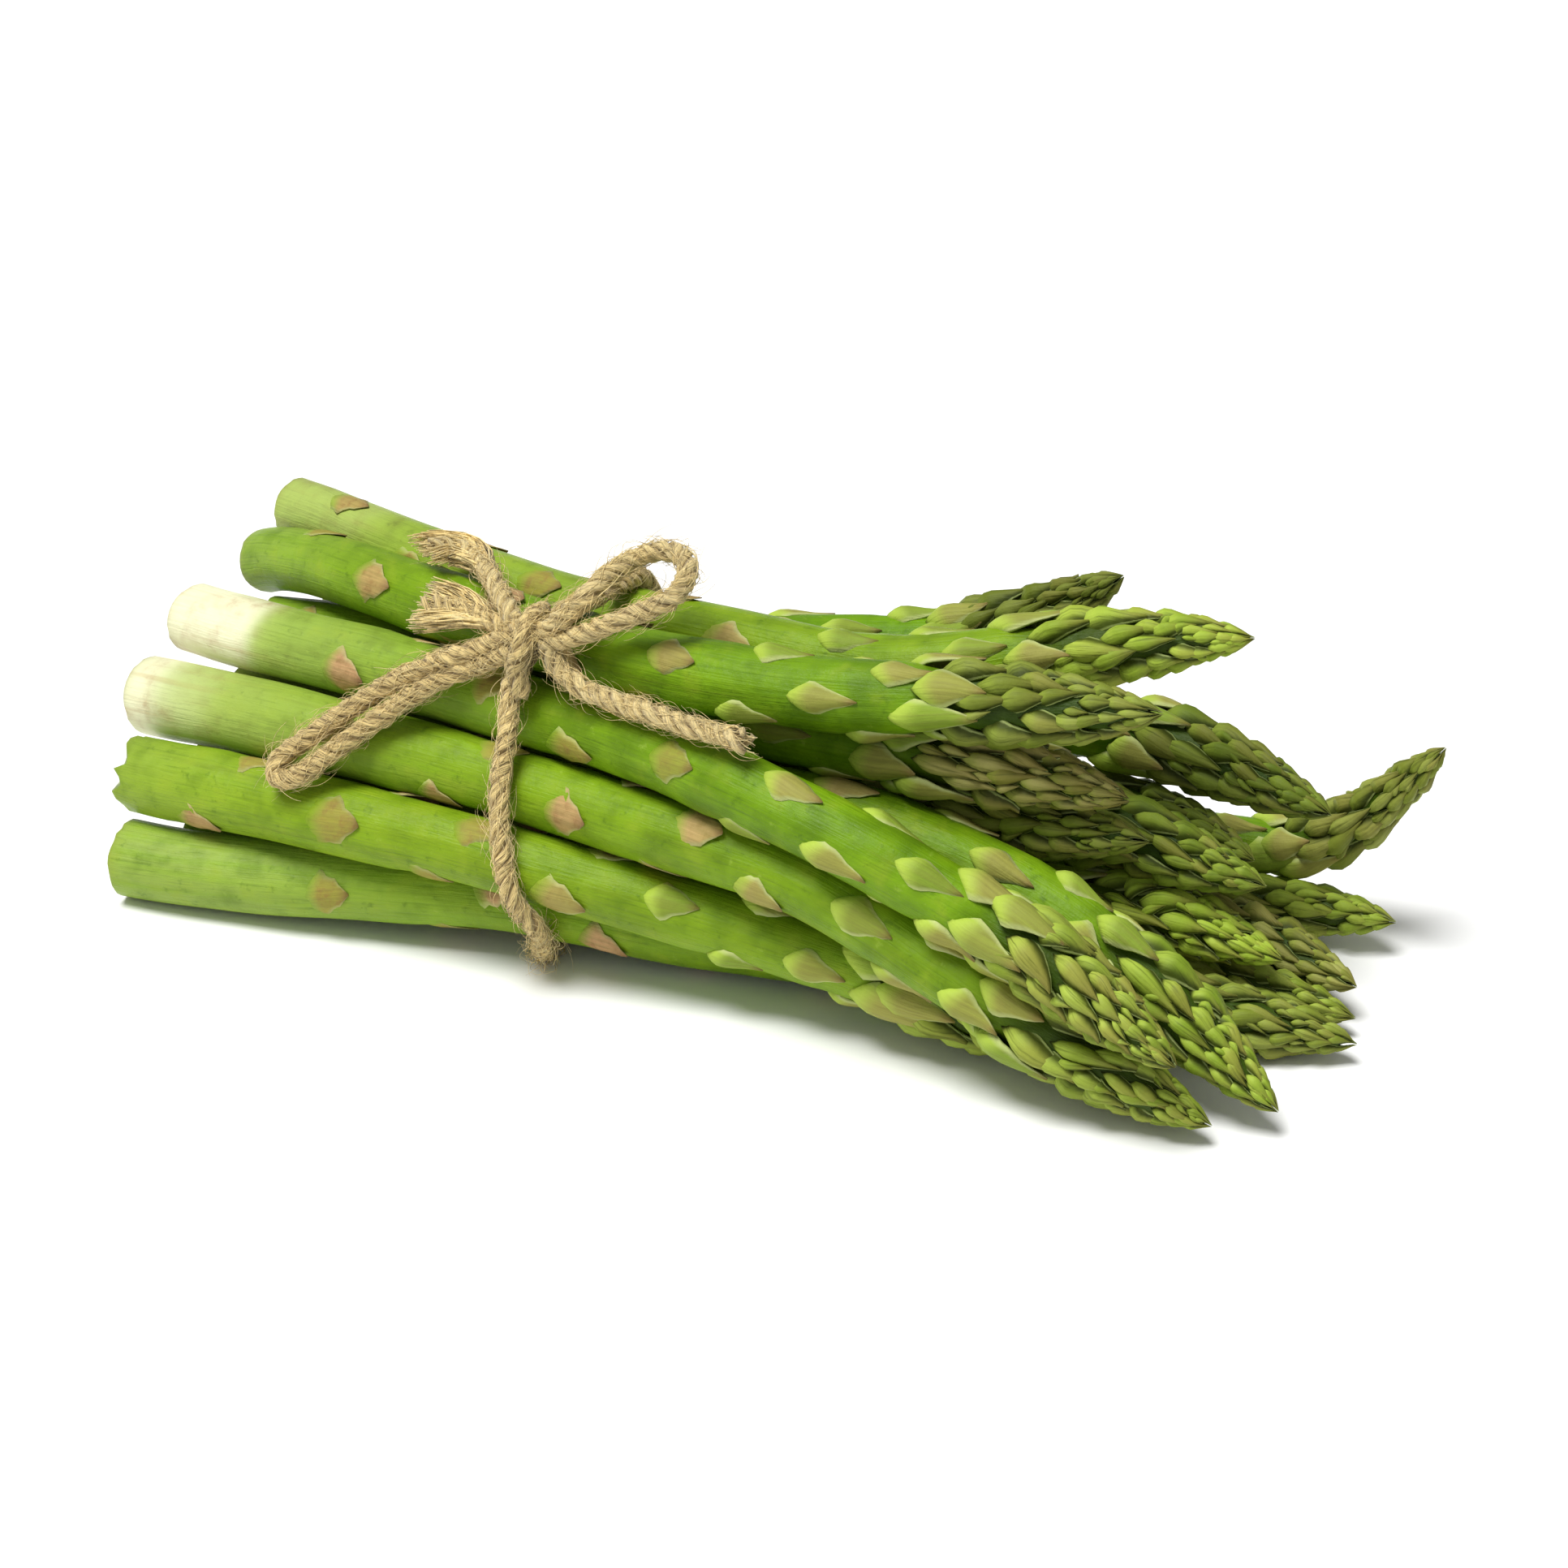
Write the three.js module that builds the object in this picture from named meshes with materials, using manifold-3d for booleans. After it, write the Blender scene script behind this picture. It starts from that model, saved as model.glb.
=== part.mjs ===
import * as THREE from 'three';
import Module from 'manifold-3d';

// A bundle of green asparagus that lies on its side, tied with one length of jute twine.
// Millimetres. +X runs from the cut ends to the tips, +Z is up and the floor is z = 0.

const wasm = await Module();
wasm.setup();

// Where the stems pass through the tie: rows from the bottom up
const PITCH = 13.1;
const ROW_RISE = 10.6;
const TIE_HEIGHT = 11.2;

// One entry a spear: its row and place at the tie, the middle of its cut end, two
// points that it passes on its way, its tip, and its radius at the tie and at the cut end
const SPEARS = [
  {
    row: 4, place: 0.5, butt: [-78, 18, 52],
    shoulder: [50, 9, 55], neck: [84, 21, 64], tip: [113, 27, 71],
    radius: 6.0, buttRadius: 5.5,
  },
  {
    row: 4, place: -0.5, butt: [-76, 6, 44],
    shoulder: [50, -4, 57], neck: [80, 4, 59], tip: [106, 9, 63],
    radius: 6.5, buttRadius: 5.8,
  },
  {
    row: 3, place: -1, butt: [-81, -8, 39.5],
    shoulder: [60, -20, 41], neck: [95, -17, 28], tip: [125, -19, 17],
    radius: 6.3, buttRadius: 6.4,
  },
  {
    row: 3, place: 0, butt: [-70, 3, 34],
    shoulder: [60, 4, 46], neck: [76, 6, 47], tip: [99, 12, 44],
    radius: 6.3, buttRadius: 6.2,
  },
  {
    row: 3, place: 1, butt: [-66, 28, 42],
    shoulder: [40, 36, 44], neck: [60, 42, 53], tip: [81, 42, 68],
    radius: 5.6, buttRadius: 5.4,
  },
  {
    row: 2, place: -1.5, butt: [-82, -21, 29],
    shoulder: [60, -18, 29], neck: [90, -16, 18], tip: [129, -13, 3],
    radius: 6.4, buttRadius: 7.0,
  },
  {
    row: 2, place: -0.5, butt: [-70, -10, 26],
    shoulder: [60, -1, 34], neck: [105, -1, 22], tip: [137, -5, 3],
    radius: 6.2, buttRadius: 6.3,
  },
  {
    row: 2, place: 0.5, butt: [-76, 10, 28],
    shoulder: [60, 12, 35], neck: [80, 12, 35], tip: [102, 14, 36],
    radius: 6.1, buttRadius: 6.0,
  },
  {
    row: 2, place: 1.5, butt: [-74, 24, 30],
    shoulder: [50, 34, 38], neck: [86, 42, 39], tip: [122, 42, 34],
    radius: 6.2, buttRadius: 6.2,
  },
  {
    row: 1, place: -2, butt: [-77, -33, 20.5],
    shoulder: [56, -14, 14], neck: [75, -12, 12], tip: [106, -8, 7],
    radius: 6.2, buttRadius: 6.9,
  },
  {
    row: 1, place: -1, butt: [-74, -14, 16],
    shoulder: [60, 8, 19], neck: [98, 22, 17], tip: [123, 24, 14.5],
    radius: 6.0, buttRadius: 6.1,
  },
  {
    row: 1, place: 0, butt: [-72, 2, 17],
    shoulder: [60, 18, 24], neck: [90, 22, 28], tip: [119, 24, 27.5],
    radius: 6.2, buttRadius: 6.2,
  },
  {
    row: 1, place: 1, butt: [-70, 14, 19],
    shoulder: [60, 30, 24], neck: [90, 36, 27], tip: [112, 34, 26],
    radius: 6.1, buttRadius: 6.0,
  },
  {
    row: 1, place: 2, butt: [-74, 30, 17],
    shoulder: [70, 46, 16], neck: [110, 60, 14], tip: [133, 63, 40],
    radius: 4.8, buttRadius: 5.6,
  },
  {
    row: 0, place: -1.5, butt: [-74, -39, 5.4],
    shoulder: [36, -5, 9], neck: [100, 16, 7], tip: [138, 23, 4],
    radius: 6.3, buttRadius: 6.9,
  },
  {
    row: 0, place: -0.5, butt: [-70, -24, 5.2],
    shoulder: [60, 10, 7], neck: [105, 23, 6.5], tip: [134, 30, 4],
    radius: 6.0, buttRadius: 6.3,
  },
  {
    row: 0, place: 0.5, butt: [-72, -6, 5.2],
    shoulder: [60, 26, 7], neck: [105, 36, 7], tip: [132, 34, 7],
    radius: 6.2, buttRadius: 6.3,
  },
  {
    row: 0, place: 1.5, butt: [-70, 14, 5],
    shoulder: [60, 42, 7], neck: [100, 55, 6.5], tip: [128, 59, 7],
    radius: 5.5, buttRadius: 6.0,
  },
];

// Shape of one spear: the head is laid out as rings of scales, counted from the tip
const HEAD = 42;
const HEAD_RINGS = [1.6, 4.2, 7.2, 10.6, 14.6, 19.2, 24.4, 30, 36, 42, 48];
const SCALES_ROUND = 5;
const RING_TWIST = 0.16;
const SCALE_ROOT = 0.82;
const SCALE_RIDGE = 0.97;
const SCALE_OPENING = 0.7;
const SIDES = 2 * SCALES_ROUND;
const STEM_RING_GAP = 19;
const PINCH = 0.05;
const PINCH_REACH = 25;

// Packing of the spears against each other, at stations along X
const STATION_START = -88;
const STATION_STEP = 4;
const STATIONS = 60;
const STEM_GAP = 0.75;
const FLAT = 0.6;
const TIE_LIFT = 5.1;
const TIE_LIFT_REACH = 26;
const ROUNDS = 260;
const SETTLING = 60;
const STIFFNESS = 0.3;
const PULL = 0.03;

// Bracts of the stem: each second one of a row that winds down the stem by golden angles,
// close under the head and ever further apart towards the cut end
const GOLDEN_ANGLE = Math.PI * (3 - Math.sqrt(5));
const BRACTS = 10;
const BRACT_START = 50;
const BRACT_STEP = 3.3;
const BRACT_GROWTH = 0.2;
const BRACT_LENGTH = 10.5;
const BRACT_LIFT = 1.6;
const LEAST_ROOM = 0.75;

// Twine
const TWINE_RADIUS = 2.0;
const TWINE_GAP = 0.5;
const TWINE_SIDES = 6;
const TWINE_RING_GAP = 6;
const BAND_RING_GAP = 3.6;
const HULL_STEPS = 72;
const HULL_MIDDLE = [0, 31];

const clamp = (v, low, high) => Math.min(Math.max(v, low), high);
const smooth = (v) => v * v * (3 - 2 * v);

function girth(spear, fromTip, x) {
  const k = clamp(fromTip / HEAD, 0, 1);
  const head = spear.radius * 1.07 * Math.pow(1 - Math.pow(1 - k, 2.4), 0.7);
  const stem = spear.radius * (0.92 + 0.08 * clamp((fromTip - HEAD) / 80, 0, 1));
  const blend = smooth(clamp((fromTip - HEAD * 0.7) / (HEAD * 0.3), 0, 1));
  const toButt = smooth(clamp(-x / 70, 0, 1));
  const full = (head * (1 - blend) + stem * blend) * (1 - toButt) + spear.buttRadius * toButt;
  return full * (1 - PINCH * Math.exp(-((x / PINCH_REACH) ** 2)));
}

// The hand-set way of a spear as y and z over x: a cubic through its five points
function guide(spear, x) {
  const tie = [0, spear.place * PITCH, TIE_HEIGHT + spear.row * ROW_RISE];
  const points = [spear.butt, tie, spear.shoulder, spear.neck, spear.tip];
  const last = points.length - 1;
  return [1, 2].map((axis) => {
    const rise = [];
    for (let i = 0; i < last; i += 1) {
      rise.push((points[i + 1][axis] - points[i][axis]) / (points[i + 1][0] - points[i][0]));
    }
    const slope = points.map((p, i) => {
      if (i === 0 || i === last) return 0;
      const w = (p[0] - points[i - 1][0]) / (points[i + 1][0] - points[i - 1][0]);
      return rise[i - 1] * (1 - w) + rise[i] * w;
    });
    slope[0] = 1.5 * rise[0] - 0.5 * slope[1];
    slope[last] = 1.5 * rise[last - 1] - 0.5 * slope[last - 1];
    if (x <= points[0][0]) return points[0][axis] + slope[0] * (x - points[0][0]);
    if (x >= points[last][0]) return points[last][axis] + slope[last] * (x - points[last][0]);
    let i = 0;
    while (x >= points[i + 1][0]) i += 1;
    const h = points[i + 1][0] - points[i][0];
    const u = (x - points[i][0]) / h;
    return (2 * u ** 3 - 3 * u * u + 1) * points[i][axis] + (u ** 3 - 2 * u * u + u) * h * slope[i]
      + (3 * u * u - 2 * u ** 3) * points[i + 1][axis] + (u ** 3 - u * u) * h * slope[i + 1];
  });
}

const stationX = (k) => STATION_START + STATION_STEP * k;

// Lays the spears against each other: neighbours that press are pushed apart, each
// spear stays as stiff as its guide, and none goes below the floor
function packSpears() {
  const laid = SPEARS.map((spear) => {
    const start = [];
    const radius = [];
    const live = [];
    for (let k = 0; k < STATIONS; k += 1) start.push(guide(spear, stationX(k)));
    for (let k = 0; k < STATIONS; k += 1) {
      const a = start[Math.max(k - 1, 0)];
      const b = start[Math.min(k + 1, STATIONS - 1)];
      const run = STATION_STEP * (Math.min(k + 1, STATIONS - 1) - Math.max(k - 1, 0));
      const lean = Math.hypot(1, (b[0] - a[0]) / run, (b[1] - a[1]) / run);
      const x = stationX(k);
      radius.push(girth(spear, Math.max((spear.tip[0] - x) * lean, 3), x) * lean);
      live.push(x >= spear.butt[0] - STATION_STEP && x <= spear.tip[0] + STATION_STEP);
    }
    return { spear, start, radius, live, now: start.map((p) => [...p]) };
  });
  const lift = (k) => TIE_LIFT * Math.exp(-((stationX(k) / TIE_LIFT_REACH) ** 2));
  const settleOnFloor = () => {
    for (const one of laid) {
      for (let k = 0; k < STATIONS; k += 1) {
        one.now[k][1] = Math.max(one.now[k][1], one.radius[k] - FLAT + lift(k));
      }
    }
  };
  for (let round = 0; round < ROUNDS; round += 1) {
    const early = round < ROUNDS - SETTLING;
    const moves = laid.map(() => []);
    for (let k = 0; k < STATIONS; k += 1) {
      for (let a = 0; a < laid.length; a += 1) {
        let pushY = 0;
        let pushZ = 0;
        let touching = 0;
        for (let b = 0; b < laid.length; b += 1) {
          if (a === b || !laid[a].live[k] || !laid[b].live[k]) continue;
          const dy = laid[a].now[k][0] - laid[b].now[k][0];
          const dz = laid[a].now[k][1] - laid[b].now[k][1];
          const apart = Math.hypot(dy, dz) + 1e-9;
          const over = laid[a].radius[k] + laid[b].radius[k] + STEM_GAP - apart;
          if (over <= 0) continue;
          pushY += (dy / apart) * over * 0.5;
          pushZ += (dz / apart) * over * 0.5;
          touching += 1;
        }
        const share = Math.sqrt(Math.max(touching, 1));
        moves[a].push([pushY / share, pushZ / share]);
      }
    }
    laid.forEach((one, a) => {
      one.now.forEach((p, k) => {
        p[0] += moves[a][k][0];
        p[1] += moves[a][k][1];
      });
    });
    settleOnFloor();
    const even = early ? STIFFNESS : 0.06;
    const keep = early ? 1 - PULL : 1;
    for (const one of laid) {
      const away = one.now.map((p, k) => [p[0] - one.start[k][0], p[1] - one.start[k][1]]);
      for (let k = 0; k < STATIONS; k += 1) {
        for (let axis = 0; axis < 2; axis += 1) {
          let d = away[k][axis];
          if (k > 0 && k < STATIONS - 1) {
            d = d * (1 - even) + even * 0.5 * (away[k - 1][axis] + away[k + 1][axis]);
          }
          one.now[k][axis] = one.start[k][axis] + d * keep;
        }
      }
    }
  }
  settleOnFloor();
  return laid;
}

const LAID = packSpears();

function middleAt(one, x) {
  const at = clamp((x - STATION_START) / STATION_STEP, 0, STATIONS - 1.001);
  const k = Math.floor(at);
  const u = at - k;
  const before = one.now[Math.max(k - 1, 0)];
  const after = one.now[Math.min(k + 2, STATIONS - 1)];
  const a = one.now[k];
  const b = one.now[k + 1];
  const bend = (axis) => {
    const ma = (b[axis] - before[axis]) / 2;
    const mb = (after[axis] - a[axis]) / 2;
    return (2 * u ** 3 - 3 * u * u + 1) * a[axis] + (u ** 3 - 2 * u * u + u) * ma
      + (3 * u * u - 2 * u ** 3) * b[axis] + (u ** 3 - u * u) * mb;
  };
  return new THREE.Vector3(x, bend(0), bend(1));
}

// A spear's way as points with the distance from its tip
function wayOf(one) {
  const steps = 120;
  const [from, to] = [one.spear.butt[0], one.spear.tip[0]];
  const points = [];
  for (let i = 0; i <= steps; i += 1) points.push(middleAt(one, from + ((to - from) * i) / steps));
  const fromTip = new Array(points.length).fill(0);
  for (let i = points.length - 2; i >= 0; i -= 1) {
    fromTip[i] = fromTip[i + 1] + points[i].distanceTo(points[i + 1]);
  }
  return { spear: one.spear, points, fromTip, length: fromTip[0] };
}

const WAYS = LAID.map(wayOf);

// Place on a spear: distance from the tip, angle round the stem, height off the middle
function frameAt(way, fromTip) {
  let i = 0;
  while (i < way.points.length - 2 && way.fromTip[i + 1] > fromTip) i += 1;
  const span = way.fromTip[i] - way.fromTip[i + 1];
  const t = (way.fromTip[i] - fromTip) / span;
  const middle = way.points[i].clone().lerp(way.points[i + 1], t);
  const a = way.points[Math.max(i - 1, 0)];
  const b = way.points[Math.min(i + 2, way.points.length - 1)];
  const along = b.clone().sub(a).normalize();
  const side = new THREE.Vector3(0, 0, 1).cross(along).normalize();
  const up = along.clone().cross(side);
  return { middle, along, side, up };
}

function onSpear(way, fromTip, angle, height) {
  const f = frameAt(way, fromTip);
  return f.middle.clone()
    .addScaledVector(f.side, Math.cos(angle) * height)
    .addScaledVector(f.up, Math.sin(angle) * height);
}

const girthAt = (way, fromTip) => girth(way.spear, fromTip, frameAt(way, fromTip).middle.x);

function solid(vertices, faces) {
  const mesh = new wasm.Mesh({
    numProp: 3,
    vertProperties: new Float32Array(vertices.flatMap((v) => [v.x, v.y, v.z])),
    triVerts: new Uint32Array(faces.flat()),
  });
  return new wasm.Manifold(mesh);
}

// Faces between rings of points, and over the two ends
function tubeFaces(rings, sides, first = 0) {
  const faces = [];
  for (let r = 0; r < rings - 1; r += 1) {
    for (let s = 0; s < sides; s += 1) {
      const n = (s + 1) % sides;
      const a = first + r * sides + s;
      const b = first + r * sides + n;
      faces.push([b, a, a + sides], [b, a + sides, b + sides]);
    }
  }
  return faces;
}

function endFaces(first, sides, flip) {
  const faces = [];
  for (let s = 1; s < sides - 1; s += 1) {
    faces.push(flip ? [first, first + s, first + s + 1] : [first, first + s + 1, first + s]);
  }
  return faces;
}

function skin(rings) {
  const sides = rings[0].length;
  const faces = tubeFaces(rings.length, sides);
  faces.push(...endFaces(0, sides, true), ...endFaces((rings.length - 1) * sides, sides, false));
  const vertices = rings.flat();
  const body = solid(vertices, faces);
  return body.volume() > 0 ? body : solid(vertices, faces.map(([a, b, c]) => [a, c, b]));
}

// Free space over a point: to the other spears, and to the twine
function freeSpace(point, own, twineWays) {
  let free = Infinity;
  for (const way of WAYS) {
    if (way === own) continue;
    way.points.forEach((p, i) => {
      const r = i % 2 === 0 ? girth(way.spear, way.fromTip[i], p.x) : Infinity;
      if (r < Infinity) free = Math.min(free, point.distanceTo(p) - r);
    });
  }
  for (const strand of twineWays) {
    for (const p of strand) free = Math.min(free, point.distanceTo(p) - TWINE_RADIUS - 0.35);
  }
  return free;
}

// One bract: a pointed blade with a ridge, its root inside the stem. It stands off as far
// as the free space lets it, and there is none where it would lie under the twine
function blade(way, base, angle, length, halfWidth, twineWays) {
  const tip = base - length;
  const peak = base - length * 0.38;
  const spread = halfWidth / girthAt(way, peak);
  const rim = [[peak, 0], [tip, 0], [peak, -spread], [peak, spread]];
  const rooms = rim.map(([d, turn]) => freeSpace(onSpear(way, d, angle + turn, girthAt(way, d)), way, twineWays));
  const room = Math.min(...rooms);
  if (room < LEAST_ROOM) return null;
  const lift = Math.min(room * 0.42, BRACT_LIFT);
  const edge = 0.1 + 0.2 * lift;
  const vertices = [
    onSpear(way, base + 0.8, angle, girthAt(way, base) - 0.9),
    onSpear(way, base - length * 0.4, angle - spread, girthAt(way, peak) + edge),
    onSpear(way, base - length * 0.4, angle + spread, girthAt(way, peak) + edge),
    onSpear(way, tip, angle, girthAt(way, tip) + lift * 0.7),
    onSpear(way, peak, angle, girthAt(way, peak) + lift),
    onSpear(way, base - length * 0.5, angle, girthAt(way, base - length * 0.5) * 0.55),
  ];
  const faces = [[0, 4, 2], [2, 4, 3], [3, 4, 1], [1, 4, 0], [0, 2, 5], [2, 3, 5], [3, 1, 5], [1, 0, 5]];
  const one = solid(vertices, faces);
  return one.volume() > 0 ? one : solid(vertices, faces.map(([a, b, c]) => [a, c, b]));
}

// Where the twine runs: x along the bundle, the angle round it and how far off it stands
const hullCache = new Map();
function hullSupport(x) {
  const key = Math.round(x * 4);
  if (hullCache.has(key)) return hullCache.get(key);
  const reach = [];
  for (let i = 0; i < HULL_STEPS; i += 1) {
    const angle = (i / HULL_STEPS) * 2 * Math.PI;
    let far = 0;
    for (const one of LAID) {
      if (key / 4 < one.spear.butt[0] + 1 || key / 4 > one.spear.tip[0] - 1) continue;
      const p = middleAt(one, key / 4);
      const k = Math.round((key / 4 - STATION_START) / STATION_STEP);
      far = Math.max(far, (p.y - HULL_MIDDLE[0]) * Math.cos(angle)
        + (p.z - HULL_MIDDLE[1]) * Math.sin(angle) + one.radius[k]);
    }
    reach.push(far);
  }
  hullCache.set(key, reach);
  return reach;
}

function onHull([x, degrees, off]) {
  const angle = (degrees * Math.PI) / 180;
  let rho = Infinity;
  hullSupport(x).forEach((far, i) => {
    const facing = Math.cos((i / HULL_STEPS) * 2 * Math.PI - angle);
    if (facing > 0.05) rho = Math.min(rho, (far + TWINE_RADIUS + TWINE_GAP + off) / facing);
  });
  return new THREE.Vector3(x, HULL_MIDDLE[0] + rho * Math.cos(angle), HULL_MIDDLE[1] + rho * Math.sin(angle));
}

const BAND = [
  [-1, 118, 0], [-3, 132, 0], [-1, 150, 0], [0, 166, 0], [2, 180, 0], [5, 191, 0], [7, 202, 0], [8, 216, 0],
  [3, 236, 0], [-2, 254, 0], [-3, 275, 0], [-3, 300, 0], [-2, 325, 0], [-1, 350, 0], [0, 375, 0], [1, 400, 0],
  [3, 420, 0], [4, 440, 0], [3, 460, 0], [-1, 478, 0],
];
const KNOT_CROSS = [[-7, 118, 1.2], [-2, 120, 4.4], [2, 119, 4.6], [6, 116, 1.6]];
const KNOT_WRAP = [[0, 136, 0.5], [-1, 130, 3.5], [0, 125, 5.8], [0, 118, 5.6], [-1, 110, 1]];
const RIGHT_LOOP = [
  [2, 119, 4], [5, 116, 5], [8, 110, 6], [10, 102, 7.5], [12, 95, 9], [16, 92, 10.5], [21, 93, 11],
  [25, 99, 9.5], [24, 104, 7], [19, 108, 5], [14, 112, 3.5], [8, 117, 3], [3, 121, 3.5],
];
const LEFT_LOOP = [
  [-3, 121, 4], [-11, 128, 3], [-20, 137, 1.6], [-27, 147, 1], [-33, 160, 0.8], [-38, 170, 0.8], [-41, 175, 1],
  [-41, 180, 1], [-37, 179, 0.8], [-32, 171, 0.6], [-26, 158, 0.6], [-19, 144, 0.8], [-11, 132, 1.6],
  [-3, 125, 3.2],
];
const RIGHT_TAIL = [
  [3, 120, 3.6], [6, 125, 1.6], [12, 129, 0.4], [18, 130, 0.2], [25, 131, 0.4], [33, 132, 0.6], [40, 132, 0.6],
  [46, 132, 1],
];
const UPPER_TAIL = [[-4, 118, 4], [-10, 110, 2.6], [-18, 99, 1.2], [-24, 92, 0.8], [-28, 92, 1], [-30, 98, 1.4]];
const SHORT_TAIL = [[-5, 120, 3.6], [-10, 118, 2.6], [-15, 116, 1.6], [-20, 116, 1.2], [-24, 117, 1.6]];

const DEGREES_TO_MM = 0.6;

// A strand's way, smooth in bundle terms and then laid on the hull
function strandWay(points, spacing) {
  const terms = points.map(([x, degrees, off]) => new THREE.Vector3(x, degrees * DEGREES_TO_MM, off));
  const path = new THREE.CatmullRomCurve3(terms, false, 'centripetal');
  const fine = path.getSpacedPoints(160).map((p) => onHull([p.x, p.y / DEGREES_TO_MM, p.z]));
  const curve = new THREE.CatmullRomCurve3(fine, false, 'centripetal');
  curve.arcLengthDivisions = 600;
  return curve.getSpacedPoints(Math.max(3, Math.round(curve.getLength() / spacing)));
}

const LINES = [BAND, KNOT_CROSS, KNOT_WRAP, RIGHT_LOOP, LEFT_LOOP, RIGHT_TAIL, UPPER_TAIL, SHORT_TAIL];
const STRANDS = LINES.map((points) => {
  const closed = points === BAND;
  const way = strandWay(points, closed ? BAND_RING_GAP : TWINE_RING_GAP);
  if (closed) way.pop();
  return { closed, way, fine: strandWay(points, 1) };
});

function strandSolid(strand) {
  const { way, closed } = strand;
  const rings = way.map((p, i) => {
    const before = closed ? way[(i + way.length - 1) % way.length] : way[Math.max(i - 1, 0)];
    const after = closed ? way[(i + 1) % way.length] : way[Math.min(i + 1, way.length - 1)];
    const along = after.clone().sub(before).normalize();
    const out = new THREE.Vector3(0, p.y - HULL_MIDDLE[0], p.z - HULL_MIDDLE[1]);
    const side = along.clone().cross(out).normalize();
    const up = side.clone().cross(along).normalize();
    const ring = [];
    for (let s = 0; s < TWINE_SIDES; s += 1) {
      const angle = (s / TWINE_SIDES) * 2 * Math.PI;
      ring.push(p.clone()
        .addScaledVector(side, -Math.cos(angle) * TWINE_RADIUS)
        .addScaledVector(up, Math.sin(angle) * TWINE_RADIUS));
    }
    return ring;
  });
  if (closed) {
    const half = Math.floor(rings.length / 2);
    const first = skin(rings.slice(0, half + 1));
    return first.add(skin([...rings.slice(half), rings[0]]));
  }
  return skin(rings);
}

// The head and stem of a spear as one skin. Each scale is a kite: its free tip stands
// off, its sides and root pass under the tips of the next two rings of scales
function spearSkin(way, index, twineWays) {
  const vertices = [];
  const faces = [];
  const put = (fromTip, angle, height) => vertices.push(onSpear(way, fromTip, angle, height)) - 1;
  const turn = (2 * Math.PI) / SCALES_ROUND;
  const angleOf = (j, i) => index + (i + (Math.abs(j) % 2) / 2) * turn + j * RING_TWIST;
  const low = HEAD_RINGS.map((d, j) => {
    const ring = [];
    for (let i = 0; i < SCALES_ROUND; i += 1) {
      const root = j === HEAD_RINGS.length - 1 ? 1 : SCALE_ROOT;
      ring.push(put(d, angleOf(j, i), girthAt(way, d) * root));
    }
    return ring;
  });
  const apex = put(0, 0, 0);
  const corner = (j, i) => low[j][(i + SCALES_ROUND) % SCALES_ROUND];
  for (let j = -1; j < HEAD_RINGS.length - 2; j += 1) {
    const odd = Math.abs(j) % 2;
    for (let i = 0; i < SCALES_ROUND; i += 1) {
      const left = corner(j + 1, i - 1 + odd);
      const right = corner(j + 1, i + odd);
      const root = corner(j + 2, i);
      if (j < 0) {
        faces.push([apex, left, root], [apex, root, right]);
      } else {
        const d = HEAD_RINGS[j];
        const angle = angleOf(j, i);
        const over = onSpear(way, d, angle, girthAt(way, d));
        const open = clamp(freeSpace(over, way, twineWays) * 0.4, 0, SCALE_OPENING);
        const middle = (HEAD_RINGS[j] + 2 * HEAD_RINGS[j + 1]) / 3;
        const tip = put(Math.max(d - 0.9, 0.5), angle, girthAt(way, d) + open);
        const ridge = put(middle, angle, girthAt(way, middle) * SCALE_RIDGE + open * 0.6);
        const under = corner(j, i);
        faces.push([tip, left, ridge], [left, root, ridge], [root, right, ridge], [right, tip, ridge]);
        faces.push([left, tip, under], [tip, right, under]);
      }
    }
  }
  const last = HEAD_RINGS.length - 1;
  const edge = [];
  for (let i = 0; i < SCALES_ROUND; i += 1) edge.push(corner(last, i), corner(last - 1, i));
  const distances = [];
  const stemLength = way.length - HEAD_RINGS[last] - 4;
  const stemRings = Math.round(stemLength / STEM_RING_GAP);
  for (let i = 0; i < stemRings; i += 1) distances.push(HEAD_RINGS[last] + 4 + (stemLength * i) / stemRings);
  distances.push(way.length - 1, way.length);
  const start = vertices.length;
  distances.forEach((d, r) => {
    const bevel = r === distances.length - 1 ? 0.5 : 0;
    for (let s = 0; s < SIDES; s += 1) {
      put(d, angleOf(last, 0) + (s / SIDES) * 2 * Math.PI, girthAt(way, d) - bevel);
    }
  });
  for (let s = 0; s < SIDES; s += 1) {
    const n = (s + 1) % SIDES;
    faces.push([edge[n], edge[s], start + s], [edge[n], start + s, start + n]);
  }
  faces.push(...tubeFaces(distances.length, SIDES, start));
  faces.push(...endFaces(vertices.length - SIDES, SIDES, false));
  return solid(vertices, faces);
}

function buildSpear(way, index, twineWays) {
  let body = spearSkin(way, index, twineWays);
  if (body.volume() < 0) throw new Error('spear is inside out');
  for (let k = 0; k < 2 * BRACTS; k += 2) {
    const base = BRACT_START + BRACT_STEP * k + BRACT_GROWTH * k * k;
    if (base > way.length - 8) continue;
    const angle = index * 1.9 + k * GOLDEN_ANGLE;
    const bract = blade(way, base, angle, BRACT_LENGTH, 0.72 * girthAt(way, base), twineWays);
    if (bract) body = body.add(bract);
  }
  return body;
}

// Everything is kept to the floor's upper side
function aboveFloor(body) {
  const far = 400;
  const corner = (x, y, z) => new THREE.Vector3(x, y, z);
  const ring = (z) => [corner(-far, -far, z), corner(far, -far, z), corner(far, far, z), corner(-far, far, z)];
  return body.intersect(skin([ring(0), ring(far)]));
}

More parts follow.
